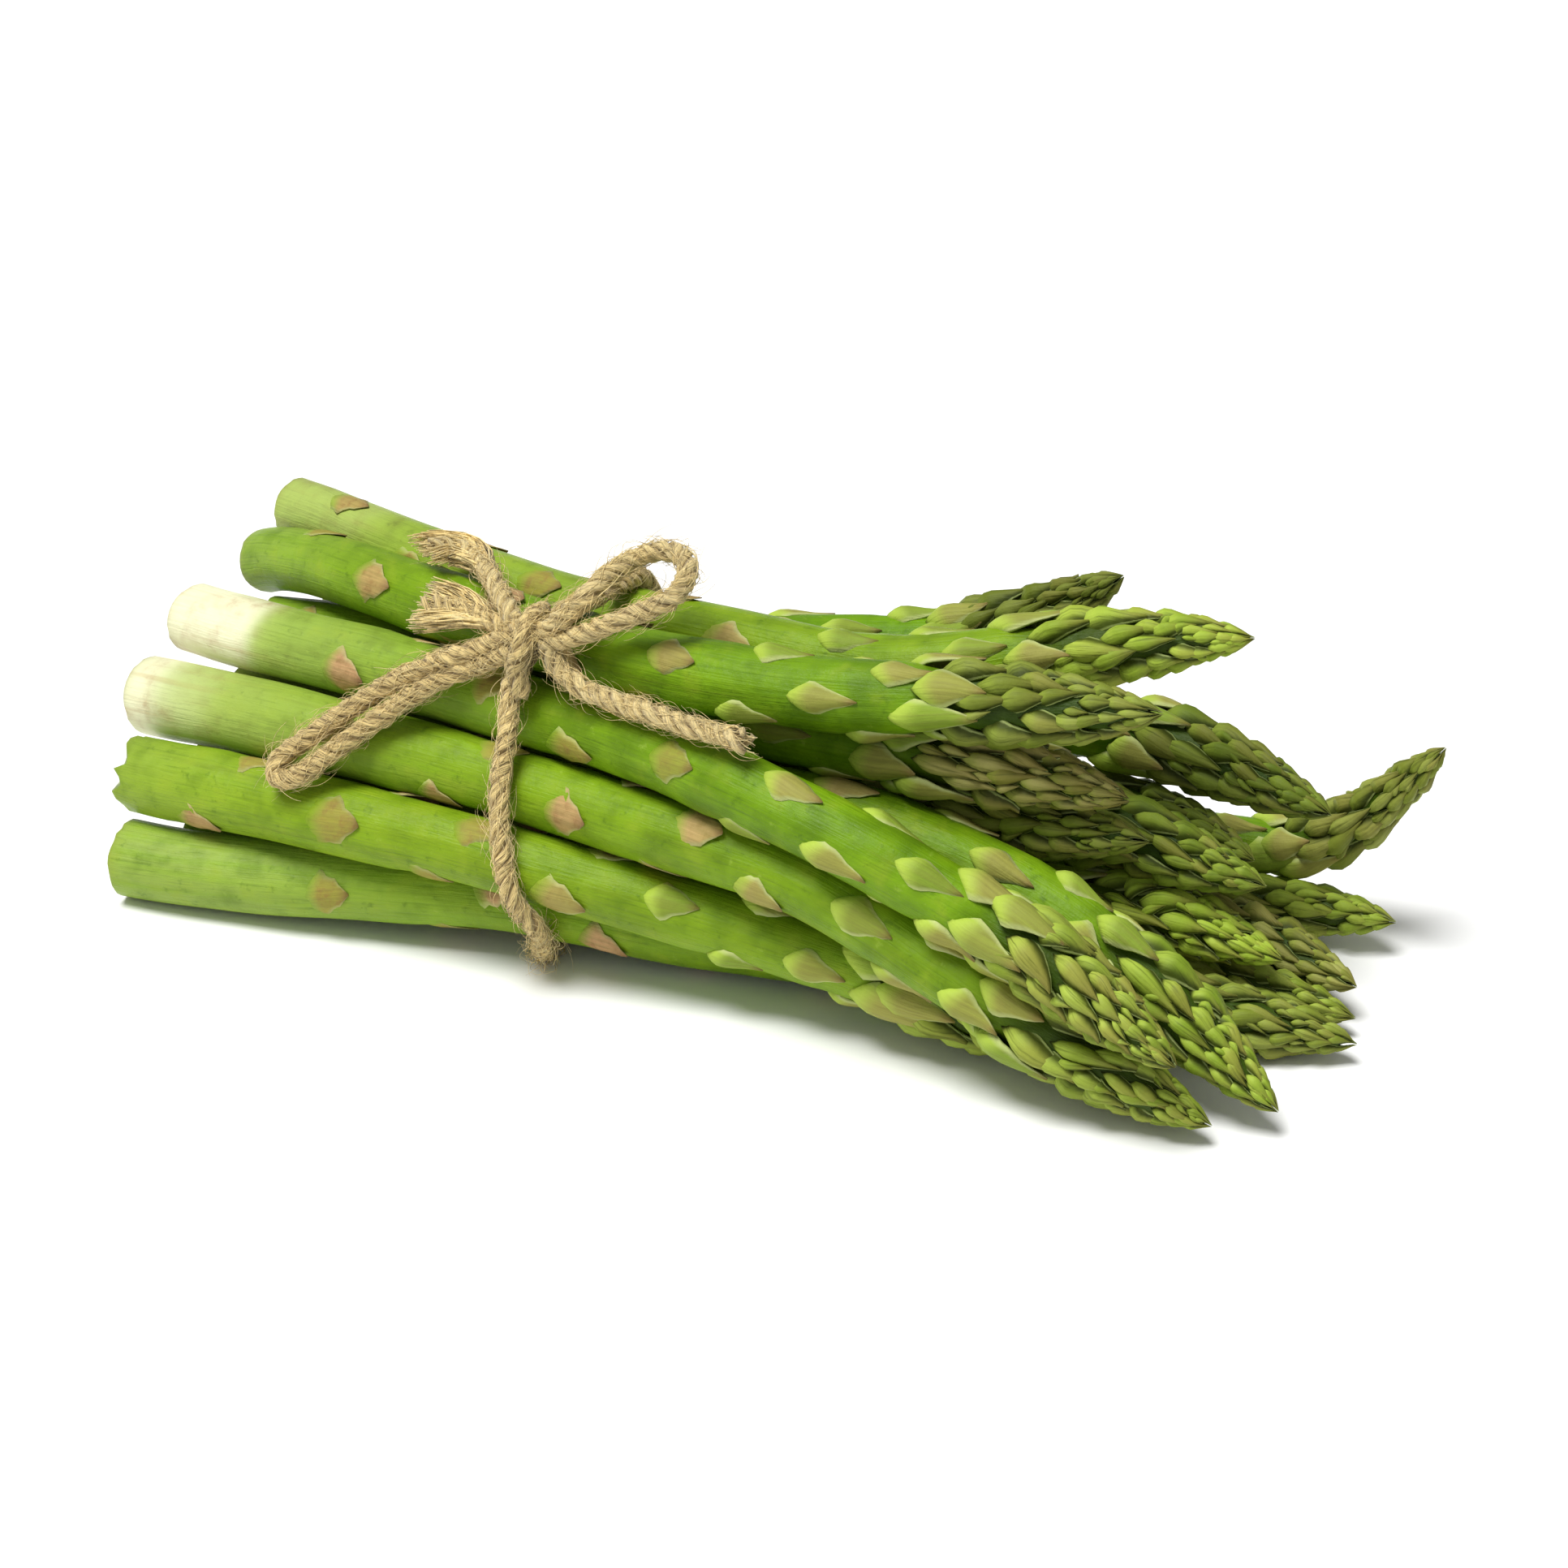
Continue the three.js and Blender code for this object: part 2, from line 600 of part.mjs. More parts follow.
function toMesh(body, name, material) {
  const data = body.getMesh();
  const geometry = new THREE.BufferGeometry();
  geometry.setAttribute('position', new THREE.BufferAttribute(new Float32Array(data.vertProperties), 3));
  geometry.setIndex(new THREE.BufferAttribute(new Uint32Array(data.triVerts), 1));
  geometry.computeVertexNormals();
  const mesh = new THREE.Mesh(geometry, material);
  mesh.name = name;
  return mesh;
}

const skinMaterial = new THREE.MeshStandardMaterial({ color: 0x7fa63c, roughness: 0.5, name: 'asparagus_skin' });
const juteMaterial = new THREE.MeshStandardMaterial({ color: 0xb08a58, roughness: 0.95, name: 'jute' });

const bundle = new THREE.Group();
bundle.name = 'asparagus_bundle';

const twineWays = STRANDS.map((s) => s.fine);
WAYS.forEach((way, i) => {
  const body = aboveFloor(buildSpear(way, i, twineWays));
  bundle.add(toMesh(body, `spear_${String(i + 1).padStart(2, '0')}`, skinMaterial));
});

let twine = null;
for (const strand of STRANDS) {
  const part = strandSolid(strand);
  twine = twine ? twine.add(part) : part;
}
bundle.add(toMesh(twine, 'twine', juteMaterial));

// The origin goes to the middle of the footprint, on the floor
bundle.updateMatrixWorld(true);
const box = new THREE.Box3().setFromObject(bundle, true);
const shift = new THREE.Vector3(-(box.min.x + box.max.x) / 2, -(box.min.y + box.max.y) / 2, -box.min.z);
for (const mesh of bundle.children) mesh.geometry.translate(shift.x, shift.y, shift.z);

export default bundle;
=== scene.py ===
"""A bundle of green asparagus on a white table, tied round the middle with jute twine."""

import math
import random

import bpy
import numpy as np
from mathutils import Matrix, Vector


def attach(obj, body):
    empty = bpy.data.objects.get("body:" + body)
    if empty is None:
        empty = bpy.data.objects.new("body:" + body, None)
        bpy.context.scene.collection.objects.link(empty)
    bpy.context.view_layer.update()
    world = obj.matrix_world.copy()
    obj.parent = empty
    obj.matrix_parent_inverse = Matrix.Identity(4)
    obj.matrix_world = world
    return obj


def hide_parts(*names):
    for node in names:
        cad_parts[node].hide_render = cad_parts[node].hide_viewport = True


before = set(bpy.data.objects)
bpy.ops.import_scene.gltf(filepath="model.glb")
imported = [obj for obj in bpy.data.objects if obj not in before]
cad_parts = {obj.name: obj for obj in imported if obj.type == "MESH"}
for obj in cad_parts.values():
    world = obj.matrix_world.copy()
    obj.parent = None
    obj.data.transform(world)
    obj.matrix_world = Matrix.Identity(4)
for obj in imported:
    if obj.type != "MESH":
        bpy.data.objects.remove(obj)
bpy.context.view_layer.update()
bpy.ops.object.select_all(action="DESELECT")

# The bundle is laid out in millimetres with the tie at x = 0; ORIGIN moves it into the frame
ORIGIN = np.array([-27.5602, -10.4720, 0.0])
MM = 0.001

# Where the stems pass through the tie: rows from the bottom up
PITCH = 13.1
ROW_RISE = 10.6
TIE_HEIGHT = 11.2

# A spear in millimetres: row and place at the tie, then cut end, shoulder, neck and tip, and the
# radius at the tie and at the cut end
SPEARS = [
    (4, 0.5, (-78, 18, 52), (50, 9, 55), (84, 21, 64), (113, 27, 71), 6.0, 5.5),
    (4, -0.5, (-76, 6, 44), (50, -4, 57), (80, 4, 59), (106, 9, 63), 6.5, 5.8),
    (3, -1, (-81, -8, 39.5), (60, -20, 41), (95, -17, 28), (125, -19, 17), 6.3, 6.4),
    (3, 0, (-70, 3, 34), (60, 4, 46), (76, 6, 47), (99, 12, 44), 6.3, 6.2),
    (3, 1, (-66, 28, 42), (40, 36, 44), (60, 42, 53), (81, 42, 68), 5.6, 5.4),
    (2, -1.5, (-82, -21, 29), (60, -18, 29), (90, -16, 18), (129, -13, 3), 6.4, 7.0),
    (2, -0.5, (-70, -10, 26), (60, -1, 34), (105, -1, 22), (137, -5, 3), 6.2, 6.3),
    (2, 0.5, (-76, 10, 28), (60, 12, 35), (80, 12, 35), (102, 14, 36), 6.1, 6.0),
    (2, 1.5, (-74, 24, 30), (50, 34, 38), (86, 42, 39), (122, 42, 34), 6.2, 6.2),
    (1, -2, (-77, -33, 20.5), (56, -14, 14), (75, -12, 12), (106, -8, 7), 6.2, 6.9),
    (1, -1, (-74, -14, 16), (60, 8, 19), (98, 22, 17), (123, 24, 14.5), 6.0, 6.1),
    (1, 0, (-72, 2, 17), (60, 18, 24), (90, 22, 28), (119, 24, 27.5), 6.2, 6.2),
    (1, 1, (-70, 14, 19), (60, 30, 24), (90, 36, 27), (112, 34, 26), 6.1, 6.0),
    (1, 2, (-74, 30, 17), (70, 46, 16), (110, 60, 14), (133, 63, 40), 4.8, 5.6),
    (0, -1.5, (-74, -39, 5.4), (36, -5, 9), (100, 16, 7), (138, 23, 4), 6.3, 6.9),
    (0, -0.5, (-70, -24, 5.2), (60, 10, 7), (105, 23, 6.5), (134, 30, 4), 6.0, 6.3),
    (0, 0.5, (-72, -6, 5.2), (60, 26, 7), (105, 36, 7), (132, 34, 7), 6.2, 6.3),
    (0, 1.5, (-70, 14, 5), (60, 42, 7), (100, 55, 6.5), (128, 59, 7), 5.5, 6.0),
]

# Its look: purple and depth of colour in the head, yellow in the skin, length that is pale
# at the cut end and how white it is there, how far the scales stand open
LOOKS = [
    (0.1, 0.1, 0.75, 40, 0.3, 0.2),
    (0.5, 0.6, 0.3, 0, 0.0, 0.15),
    (0.2, 0.2, 0.3, 34, 1.0, 0.9),
    (1.0, 0.1, 0.2, 0, 0.0, 1.0),
    (0.5, 0.9, 0.1, 0, 0.0, 0.5),
    (0.3, 0.3, 0.6, 20, 0.66, 0.1),
    (0.0, 0.3, 0.4, 0, 0.0, 0.3),
    (0.4, 0.5, 0.2, 0, 0.0, 0.5),
    (0.1, 0.9, 0.0, 0, 0.0, 0.35),
    (0.3, 0.4, 0.8, 5, 0.2, 0.2),
    (0.0, 0.0, 1.0, 0, 0.0, 1.0),
    (0.1, 0.5, 0.2, 0, 0.0, 0.2),
    (0.2, 0.7, 0.1, 0, 0.0, 0.4),
    (0.6, 0.5, 0.3, 0, 0.0, 0.2),
    (0.6, 0.6, 0.5, 0, 0.0, 0.1),
    (0.4, 0.4, 0.6, 0, 0.0, 0.2),
    (0.9, 0.4, 0.3, 0, 0.0, 0.2),
    (0.2, 0.3, 0.8, 0, 0.0, 0.1),
]

# Shape of one spear
HEAD = 42.0
PINCH = 0.05
PINCH_REACH = 25.0

# Packing of the spears against each other
STATION_START = -88.0
STATION_STEP = 4.0
STATIONS = 60
STEM_GAP = 0.75
FLAT = 0.6
TIE_LIFT = 5.1
TIE_LIFT_REACH = 26.0
ROUNDS = 260
SETTLING = 60
STIFFNESS = 0.3
LATE_STIFFNESS = 0.06
PULL = 0.03

WAY_POINTS = 241
STATION_X = STATION_START + STATION_STEP * np.arange(STATIONS)


def smooth(v):
    """0 to 1 with a soft start and a soft end."""
    v = np.clip(v, 0.0, 1.0)
    return v * v * (3.0 - 2.0 * v)


def girth(spear, from_tip, x):
    """Radius of a spear at a distance from its tip, where it passes x."""
    radius, butt_radius = spear[6], spear[7]
    k = np.clip(np.asarray(from_tip, float) / HEAD, 0.0, 1.0)
    head = radius * 1.07 * (1.0 - (1.0 - k) ** 2.4) ** 0.7
    stem = radius * (0.92 + 0.08 * np.clip((from_tip - HEAD) / 80.0, 0.0, 1.0))
    blend = smooth((from_tip - HEAD * 0.7) / (HEAD * 0.3))
    to_butt = smooth(-np.asarray(x, float) / 70.0)
    full = (head * (1.0 - blend) + stem * blend) * (1.0 - to_butt) + butt_radius * to_butt
    return full * (1.0 - PINCH * np.exp(-((x / PINCH_REACH) ** 2)))


def cubic(u, wide, a, slope_a, b, slope_b):
    """A cubic from a to b over a width, with the slopes at its two ends."""
    start = (2 * u**3 - 3 * u * u + 1) * a + (u**3 - 2 * u * u + u) * wide * slope_a
    return start + (3 * u * u - 2 * u**3) * b + (u**3 - u * u) * wide * slope_b


def along_line(points):
    """How far each point of a line is from its start."""
    return np.concatenate([[0.0], np.cumsum(np.linalg.norm(np.diff(points, axis=0), axis=1))])


def guide(spear, xs):
    """The way of a spear as listed: y and z over x, a cubic through its five points."""
    row, place, butt, shoulder, neck, tip = spear[:6]
    tie = (0.0, place * PITCH, TIE_HEIGHT + row * ROW_RISE)
    points = np.array([butt, tie, shoulder, neck, tip], float)
    px = points[:, 0]
    rise = np.diff(points[:, 1:], axis=0) / np.diff(px)[:, None]
    slope = np.zeros((len(points), 2))
    for i in range(1, len(points) - 1):
        w = (px[i] - px[i - 1]) / (px[i + 1] - px[i - 1])
        slope[i] = rise[i - 1] * (1 - w) + rise[i] * w
    slope[0] = 1.5 * rise[0] - 0.5 * slope[1]
    slope[-1] = 1.5 * rise[-1] - 0.5 * slope[-2]
    way = []
    for x in xs:
        if x <= px[0]:
            way.append(points[0, 1:] + slope[0] * (x - px[0]))
        elif x >= px[-1]:
            way.append(points[-1, 1:] + slope[-1] * (x - px[-1]))
        else:
            i = int(np.searchsorted(px, x, side="right")) - 1
            h = px[i + 1] - px[i]
            u = (x - px[i]) / h
            way.append(cubic(u, h, points[i, 1:], slope[i], points[i + 1, 1:], slope[i + 1]))
    return np.array(way)


def pack_spears():
    """Lays the spears against each other: what presses is pushed apart, none sinks in the floor."""
    start = np.array([guide(spear, STATION_X) for spear in SPEARS])
    ahead = np.minimum(np.arange(STATIONS) + 1, STATIONS - 1)
    behind = np.maximum(np.arange(STATIONS) - 1, 0)
    run = (STATION_STEP * (ahead - behind))[None, :, None]
    lean = np.sqrt(1.0 + (((start[:, ahead] - start[:, behind]) / run) ** 2).sum(2))
    radius = np.zeros(lean.shape)
    live = np.zeros(lean.shape, bool)
    for i, spear in enumerate(SPEARS):
        left = np.maximum((spear[5][0] - STATION_X) * lean[i], 3.0)
        radius[i] = girth(spear, left, STATION_X) * lean[i]
        live[i] = (STATION_X >= spear[2][0] - STATION_STEP) & (STATION_X <= spear[5][0] + STATION_STEP)
    pair = live[:, None] & live[None] & ~np.eye(len(SPEARS), dtype=bool)[:, :, None]
    need = radius[:, None] + radius[None] + STEM_GAP
    floor = radius - FLAT + TIE_LIFT * np.exp(-((STATION_X / TIE_LIFT_REACH) ** 2))
    now = start.copy()
    for turn in range(ROUNDS):
        early = turn < ROUNDS - SETTLING
        apart = now[:, None] - now[None]
        length = np.sqrt((apart**2).sum(3)) + 1e-9
        over = np.where(pair, np.maximum(need - length, 0.0), 0.0)
        share = np.sqrt(np.maximum((over > 0).sum(1), 1))
        now = now + (apart / length[..., None] * (over * 0.5)[..., None]).sum(1) / share[..., None]
        now[:, :, 1] = np.maximum(now[:, :, 1], floor)
        even = STIFFNESS if early else LATE_STIFFNESS
        away = now - start
        away[:, 1:-1] = away[:, 1:-1] * (1 - even) + even * 0.5 * (away[:, :-2] + away[:, 2:])
        now = start + away * (1 - PULL if early else 1.0)
    now[:, :, 1] = np.maximum(now[:, :, 1], floor)
    return now, radius


LAID, LAID_RADIUS = pack_spears()


def middle_at(i, xs):
    """Middle line of a spear at each x, smooth between the stations."""
    at = np.clip((np.asarray(xs, float) - STATION_START) / STATION_STEP, 0, STATIONS - 1.001)
    k = np.floor(at).astype(int)
    u = (at - k)[:, None]
    a, b = LAID[i][k], LAID[i][k + 1]
    before = LAID[i][np.maximum(k - 1, 0)]
    after = LAID[i][np.minimum(k + 2, STATIONS - 1)]
    return np.column_stack([xs, cubic(u, 1.0, a, (b - before) / 2, b, (after - a) / 2)])


def unit(v):
    return v / np.maximum(np.linalg.norm(v, axis=-1, keepdims=True), 1e-9)


class Way:
    """The way of one spear, counted in millimetres from its tip."""

    def __init__(self, i):
        self.spear = SPEARS[i]
        xs = np.linspace(self.spear[5][0], self.spear[2][0], WAY_POINTS)
        self.middle = middle_at(i, xs)
        self.mark = along_line(self.middle)
        self.length = self.mark[-1]
        self.along = unit(-np.gradient(self.middle, self.mark, axis=0))
        self.side = unit(np.cross([0.0, 0.0, 1.0], self.along))
        self.up = np.cross(self.along, self.side)

    def at(self, line, from_tip):
        return np.stack([np.interp(from_tip, self.mark, line[:, k]) for k in range(3)], 1)

    def girth(self, from_tip):
        return girth(self.spear, from_tip, self.at(self.middle, from_tip)[:, 0])

    def place(self, from_tip, angle, height):
        """Points at a distance from the tip, an angle round the stem and a height off its middle."""
        beyond = (np.clip(from_tip, 0, self.length) - from_tip)[:, None]
        side = self.at(self.side, from_tip) * np.cos(angle)[:, None]
        up = self.at(self.up, from_tip) * np.sin(angle)[:, None]
        ahead = self.at(self.along, from_tip) * beyond
        return self.at(self.middle, from_tip) + (side + up) * height[:, None] + ahead


WAYS = [Way(i) for i in range(len(SPEARS))]


# Blanks, modelled once

STEM_SIDES = 30
STEM_RINGS = 96
CUT_RINGS = [0.965, 0.9, 0.72, 0.5, 0.26]


def edit(blank, mode):
    """Sets what edit mode selects, and selects nothing yet."""
    bpy.context.view_layer.objects.active = blank
    bpy.ops.object.mode_set(mode="EDIT")
    bpy.ops.mesh.select_mode(type=mode)
    bpy.ops.mesh.select_all(action="DESELECT")
    bpy.ops.object.mode_set(mode="OBJECT")


def take(blank):
    """Reads a blank's points and faces, and clears it away."""
    points = np.array([v.co[:] for v in blank.data.vertices])
    faces = [tuple(f.vertices) for f in blank.data.polygons]
    bpy.data.objects.remove(blank, do_unlink=True)
    return points, faces


def stem_blank():
    """A round stem of unit radius and length, ringed along its length and across its cut end."""
    bpy.ops.mesh.primitive_cylinder_add(vertices=STEM_SIDES, radius=1.0, depth=1.0)
    blank = bpy.context.object
    edit(blank, "EDGE")
    for e in blank.data.edges:
        a, b = (blank.data.vertices[k].co for k in e.vertices)
        e.select = abs(a.z - b.z) > 0.5
    bpy.ops.object.mode_set(mode="EDIT")
    bpy.ops.mesh.subdivide(number_cuts=STEM_RINGS - 1)
    bpy.ops.object.mode_set(mode="OBJECT")
    edit(blank, "FACE")
    for f in blank.data.polygons:
        f.select = f.normal.z < -0.9 and len(f.vertices) > 4
    bpy.ops.object.mode_set(mode="EDIT")
    before = 1.0
    for ring in CUT_RINGS:
        bpy.ops.mesh.inset(thickness=(before - ring) * math.cos(math.pi / STEM_SIDES))
        before = ring
    bpy.ops.mesh.poke()
    bpy.ops.object.mode_set(mode="OBJECT")
    return take(blank)


def scale_blank(across, lengthwise):
    """A flat leaf with a thickness: x across, y from root to tip, z 0 on top and -1 beneath."""
    bpy.ops.mesh.primitive_grid_add(x_subdivisions=across, y_subdivisions=lengthwise, size=2.0)
    blank = bpy.context.object
    wall = blank.modifiers.new("thickness", "SOLIDIFY")
    wall.thickness = 1.0
    wall.offset = -1.0
    bpy.ops.object.modifier_apply(modifier=wall.name)
    return take(blank)


STEM = stem_blank()
SCALE = scale_blank(4, 7)
BRACT = scale_blank(6, 9)

# More than 1 puts more of a scale's rows near its root, where it is roundest
ROUND_ROOT = 1.25

ABOVE_TABLE = 0.03


class Build:
    """Gathers the points, faces and surface marks of one piece."""

    def __init__(self):
        self.points, self.faces, self.marks, self.grain = [], [], [], []
        self.count = 0

    def add(self, points, faces, marks, grain):
        self.points.append(points)
        self.faces += [tuple(k + self.count for k in f) for f in faces]
        self.marks.append(marks)
        self.grain.append(grain)
        self.count += len(points)

    def piece(self, name, material, nodes, slot):
        points = np.concatenate(self.points)
        points[:, 2] = np.maximum(points[:, 2], ABOVE_TABLE)
        points = (points + ORIGIN) * MM
        mesh = bpy.data.meshes.new(name)
        mesh.from_pydata(points.tolist(), [], self.faces)
        marks = mesh.attributes.new("marks", "FLOAT_COLOR", "POINT")
        marks.data.foreach_set("color", np.concatenate(self.marks).astype(np.float32).ravel())
        grain = mesh.attributes.new("grain", "FLOAT_VECTOR", "POINT")
        grain.data.foreach_set("vector", np.concatenate(self.grain).astype(np.float32).ravel())
        mesh.polygons.foreach_set("use_smooth", [True] * len(mesh.polygons))
        mesh.materials.append(material)
        mesh.update()
        one = bpy.data.objects.new(name, mesh)
        bpy.context.scene.collection.objects.link(one)
        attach(one, "root")
        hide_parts(*nodes)
        return one


# Materials

def linear(code):
    """An sRGB hex colour as linear numbers."""
    out = []
    for k in (0, 2, 4):
        c = int(code[k + 1:k + 3], 16) / 255
        out.append(c / 12.92 if c <= 0.04045 else ((c + 0.055) / 1.055) ** 2.4)
    return (*out, 1.0)


def node(material, kind, inputs=(), **settings):
    """Adds a node with its settings, values and links."""
    one = material.node_tree.nodes.new(kind)
    for key, value in settings.items():
        setattr(one, key, value)
    for key, value in dict(inputs).items():
        if isinstance(value, bpy.types.NodeSocket):
            material.node_tree.links.new(value, one.inputs[key])
        else:
            one.inputs[key].default_value = value
    return one


def new_material(name):
    material = bpy.data.materials.new(name)
    material.use_nodes = True
    material.node_tree.nodes.clear()
    return material


def strength(m, mask):
    """How strongly a mask shows: (value, factor), or (value, from, to, strength at from, at to)."""
    if len(mask) == 2:
        return node(m, "ShaderNodeMath", {0: mask[0], 1: mask[1]}, operation="MULTIPLY").outputs[0]
    value, low, high, weak, strong = mask
    return node(
        m, "ShaderNodeMapRange",
        {"Value": value, "From Min": low, "From Max": high, "To Min": weak, "To Max": strong},
        interpolation_type="SMOOTHSTEP",
    ).outputs["Result"]


def washes(m, colour, layers):
    """Lays washes over a colour, one on the other, each where all of its masks let it show."""
    for wash, *masks in layers:
        shown = strength(m, masks[0])
        for mask in masks[1:]:
            both = {0: shown, 1: strength(m, mask)}
            shown = node(m, "ShaderNodeMath", both, operation="MULTIPLY").outputs[0]
        paint = linear(wash) if isinstance(wash, str) else wash
        colour = node(
            m, "ShaderNodeMixRGB", {"Fac": shown, "Color1": colour, "Color2": paint},
        ).outputs["Color"]
    return colour


# Patterns of the skin: which way they run, how far apart in millimetres, how fine and how rough.
# Its fibres are a fifth of a millimetre apart and are drawn at half a millimetre, to show
SKIN_PATTERNS = {
    "fibres": ("stretched", 0.5263, 4.0, 0.6),
    "streaks": ("stretched", 2.0, 3.0, 0.55),
    "patches": ("even", 14.29, 3.0, 0.55),
    "specks": ("even", 2.222, 5.0, 0.65),
    "blotches": ("even", 5.882, 2.0, 0.55),
}
SKIN_STRETCH = (1.0, 1.0, 0.05)


def asparagus_material():
    """Fresh asparagus skin: waxy, so softly glossy, green with fine lengthwise fibres, and dry
    papery scales that turn from green to tan."""
    m = new_material("fresh asparagus skin")
    marks = node(m, "ShaderNodeAttribute", attribute_name="marks")
    along, edge, chance = node(m, "ShaderNodeSeparateColor", {"Color": marks.outputs["Color"]}).outputs
    kind = marks.outputs["Alpha"]
    tone = node(m, "ShaderNodeAttribute", attribute_name="tone")
    purple, yellow, pale = node(m, "ShaderNodeSeparateColor", {"Color": tone.outputs["Color"]}).outputs
    deep = tone.outputs["Alpha"]
    grain = node(m, "ShaderNodeAttribute", attribute_name="grain").outputs["Vector"]
    far = node(m, "ShaderNodeSeparateXYZ", {"Vector": grain}).outputs["Z"]
    stretch = node(m, "ShaderNodeMapping", {"Vector": grain, "Scale": SKIN_STRETCH}).outputs["Vector"]
    drawn = {}
    for name, (way, apart, detail, rough) in SKIN_PATTERNS.items():
        drawn[name] = node(m, "ShaderNodeTexNoise", {
            "Vector": stretch if way == "stretched" else grain,
            "Scale": 1 / apart, "Detail": detail, "Roughness": rough,
        }).outputs["Fac"]
    fibres, streaks, patches, specks, blotches = drawn.values()

    # Skin of the stem: deep green, and painted near black under the head as shade in the gaps
    # between its scales; lighter and yellower towards the cut end, white where it grew in the ground,
    # and brown at the rim of the cut. Masks on far are in millimetres from the tip
    white = washes(m, linear("#bfcf74"), [
        ("#f1f0c8", (pale, 0.3, 0.9, 0.0, 1.0)),
        ("#cdb185", (streaks, 0.5, 0.7, 0.0, 0.45)),
        ("#b48a62", (blotches, 0.4, 0.75, 0.0, 1.0), (specks, 0.3, 0.8, 0.1, 0.7)),
    ])
    skin = washes(m, linear("#416c03"), [
        ("#6d9b09", (patches, 0.35, 0.65, 0.0, 1.0)),
        ("#84a81e", (far, 60, 180, 0.0, 0.55)),
        ("#b0c472", (far, 140, 215, 0.0, 0.55)),
        ("#8fa822", (yellow, 0.7)),
        ("#86ae1a", (streaks, 0.45, 0.75, 0.0, 0.4)),
        ("#6f7f24", (streaks, 0.25, 0.42, 0.3, 0.0)),
        ("#4c6c0c", (blotches, 0.45, 0.8, 0.0, 0.45)),
        ("#98ae2c", (blotches, 0.2, 0.5, 0.5, 0.0)),
        ("#2f510a", (fibres, 0.25, 0.5, 0.3, 0.0)),
        ("#3f610a", (specks, 0.56, 0.75, 0.0, 0.5)),
        ("#a6c050", (specks, 0.25, 0.38, 0.35, 0.0)),
        (white, (pale, 1.0)),
        ("#8c8a4a", (along, 0.05, 0.5, 0.0, 0.6)),
        # painted shade: near black under the head, seen in the gaps between its scales
        ("#22320a", (far, HEAD - 14, HEAD + 2, 0.85, 0.0)),
    ])

    # The cut face: pale and juicy, with a greener ring under the skin
    cut_face = washes(m, linear("#c6d194"), [
        ("#96a95a", (specks, 0.35, 0.8, 0.0, 1.0)),
        ("#6f8836", (edge, 0.8, 0.97, 0.0, 1.0)),
    ])
    whole = washes(m, skin, [(cut_face, (along, 0.6, 0.9, 0.0, 1.0), (kind, 0.0, 0.2, 1.0, 0.0))])

    # Bracts: near the head a bulge, partly lightened by a painted highlight, lower down growing out
    # of the skin to a dry tan flap; painted shade at their roots
    aged = strength(m, (far, 70, 115, 0.0, 1.0))
    old = washes(m, linear("#a09a40"), [
        ("#c69e70", (chance, 0.25, 0.75, 0.0, 1.0)),
        ("#94683f", (specks, 0.45, 0.7, 0.0, 0.6)),
    ])
    young = washes(m, linear("#86a032"), [("#a09e4c", (chance, 0.2, 0.8, 0.0, 1.0))])
    bract = washes(m, young, [
        (old, (aged, 1.0)),
        ("#77703a", (fibres, 0.35, 0.65, 0.0, 0.35)),
        # greener root bulge of young bracts, partly a painted highlight on its raised top
        ("#b3cc4e", (along, 0.1, 0.4, 0.9, 0.0), (aged, 0.0, 1.0, 1.0, 0.3)),
        (skin, (along, 0.08, 0.4, 0.9, 0.0), (aged, 1.0)),
        ("#c2cb86", (edge, 0.74, 1.0, 0.0, 1.0), (aged, 0.0, 1.0, 0.8, 0.45)),
        ("#7c5a3c", (along, 0.7, 1.0, 0.0, 0.6)),
        # painted shade at the root, where the bract tucks into the skin
        ("#2c4208", (along, 0.0, 0.07, 0.7, 0.0)),
    ])

    # Head scales: green bulges, their brightness partly a painted highlight, tan to purple-brown
    # tails, pale rims, and painted shade along their sides and at their roots
    brown = washes(m, linear("#86783e"), [("#b9ad6e", (chance, 0.1, 0.6, 0.0, 1.0))])
    scale = washes(m, linear("#708a20"), [
        ("#9bb23c", (chance, 0.1, 0.6, 0.0, 1.0)),
        (brown, (purple, 0.95)),
        ("#967c46", (chance, 0.55, 0.9, 0.0, 0.6)),
        ("#b0cc40", (yellow, 0.6)),
        # greener bulge near the root, partly a painted highlight on its raised top
        ("#c2da58", (along, 0.18, 0.42, 0.6, 0.0), (purple, 0.0, 1.0, 1.0, 0.55)),
        ("#7a6c38", (along, 0.4, 0.9, 0.0, 0.6)),
        ("#56661c", (deep, 0.7)),
        ("#3a4409", (fibres, 0.3, 0.5, 0.6, 0.0)),
        # painted shade along the sides of each scale, where it meets its neighbours
        ("#2c370a", (edge, 0.45, 0.85, 0.0, 0.85)),
        ("#bccb7c", (edge, 0.9, 0.98, 0.0, 0.6)),
        # painted shade at the root, where it lies under the scale before
        ("#161e02", (along, 0.03, 0.13, 0.95, 0.0)),
    ])

    colour = washes(m, whole, [
        (bract, (kind, 0.2, 0.4, 0.0, 1.0)),
        (scale, (kind, 0.6, 0.9, 0.0, 1.0)),
    ])
    halves = {0: strength(m, (fibres, 0.5)), 1: strength(m, (specks, 0.5))}
    height = node(m, "ShaderNodeMath", halves, operation="ADD")
    bump = node(m, "ShaderNodeBump", {"Height": height.outputs[0], "Strength": 0.6, "Distance": 0.0008})
    shader = node(m, "ShaderNodeBsdfPrincipled", {
        "Base Color": colour, "Roughness": strength(m, (kind, 0.0, 0.5, 0.38, 0.55)), "IOR": 1.42,
        "Specular IOR Level": 0.22, "Normal": bump.outputs["Normal"],
    })
    node(m, "ShaderNodeOutputMaterial", {"Surface": shader.outputs["BSDF"]})
    return m


# Jute fibres are a twentieth of a millimetre thick and are drawn at a fifth, to show
JUTE_FIBRE = 0.2222
JUTE_STRETCH = (1.0, 1.0, 0.12)


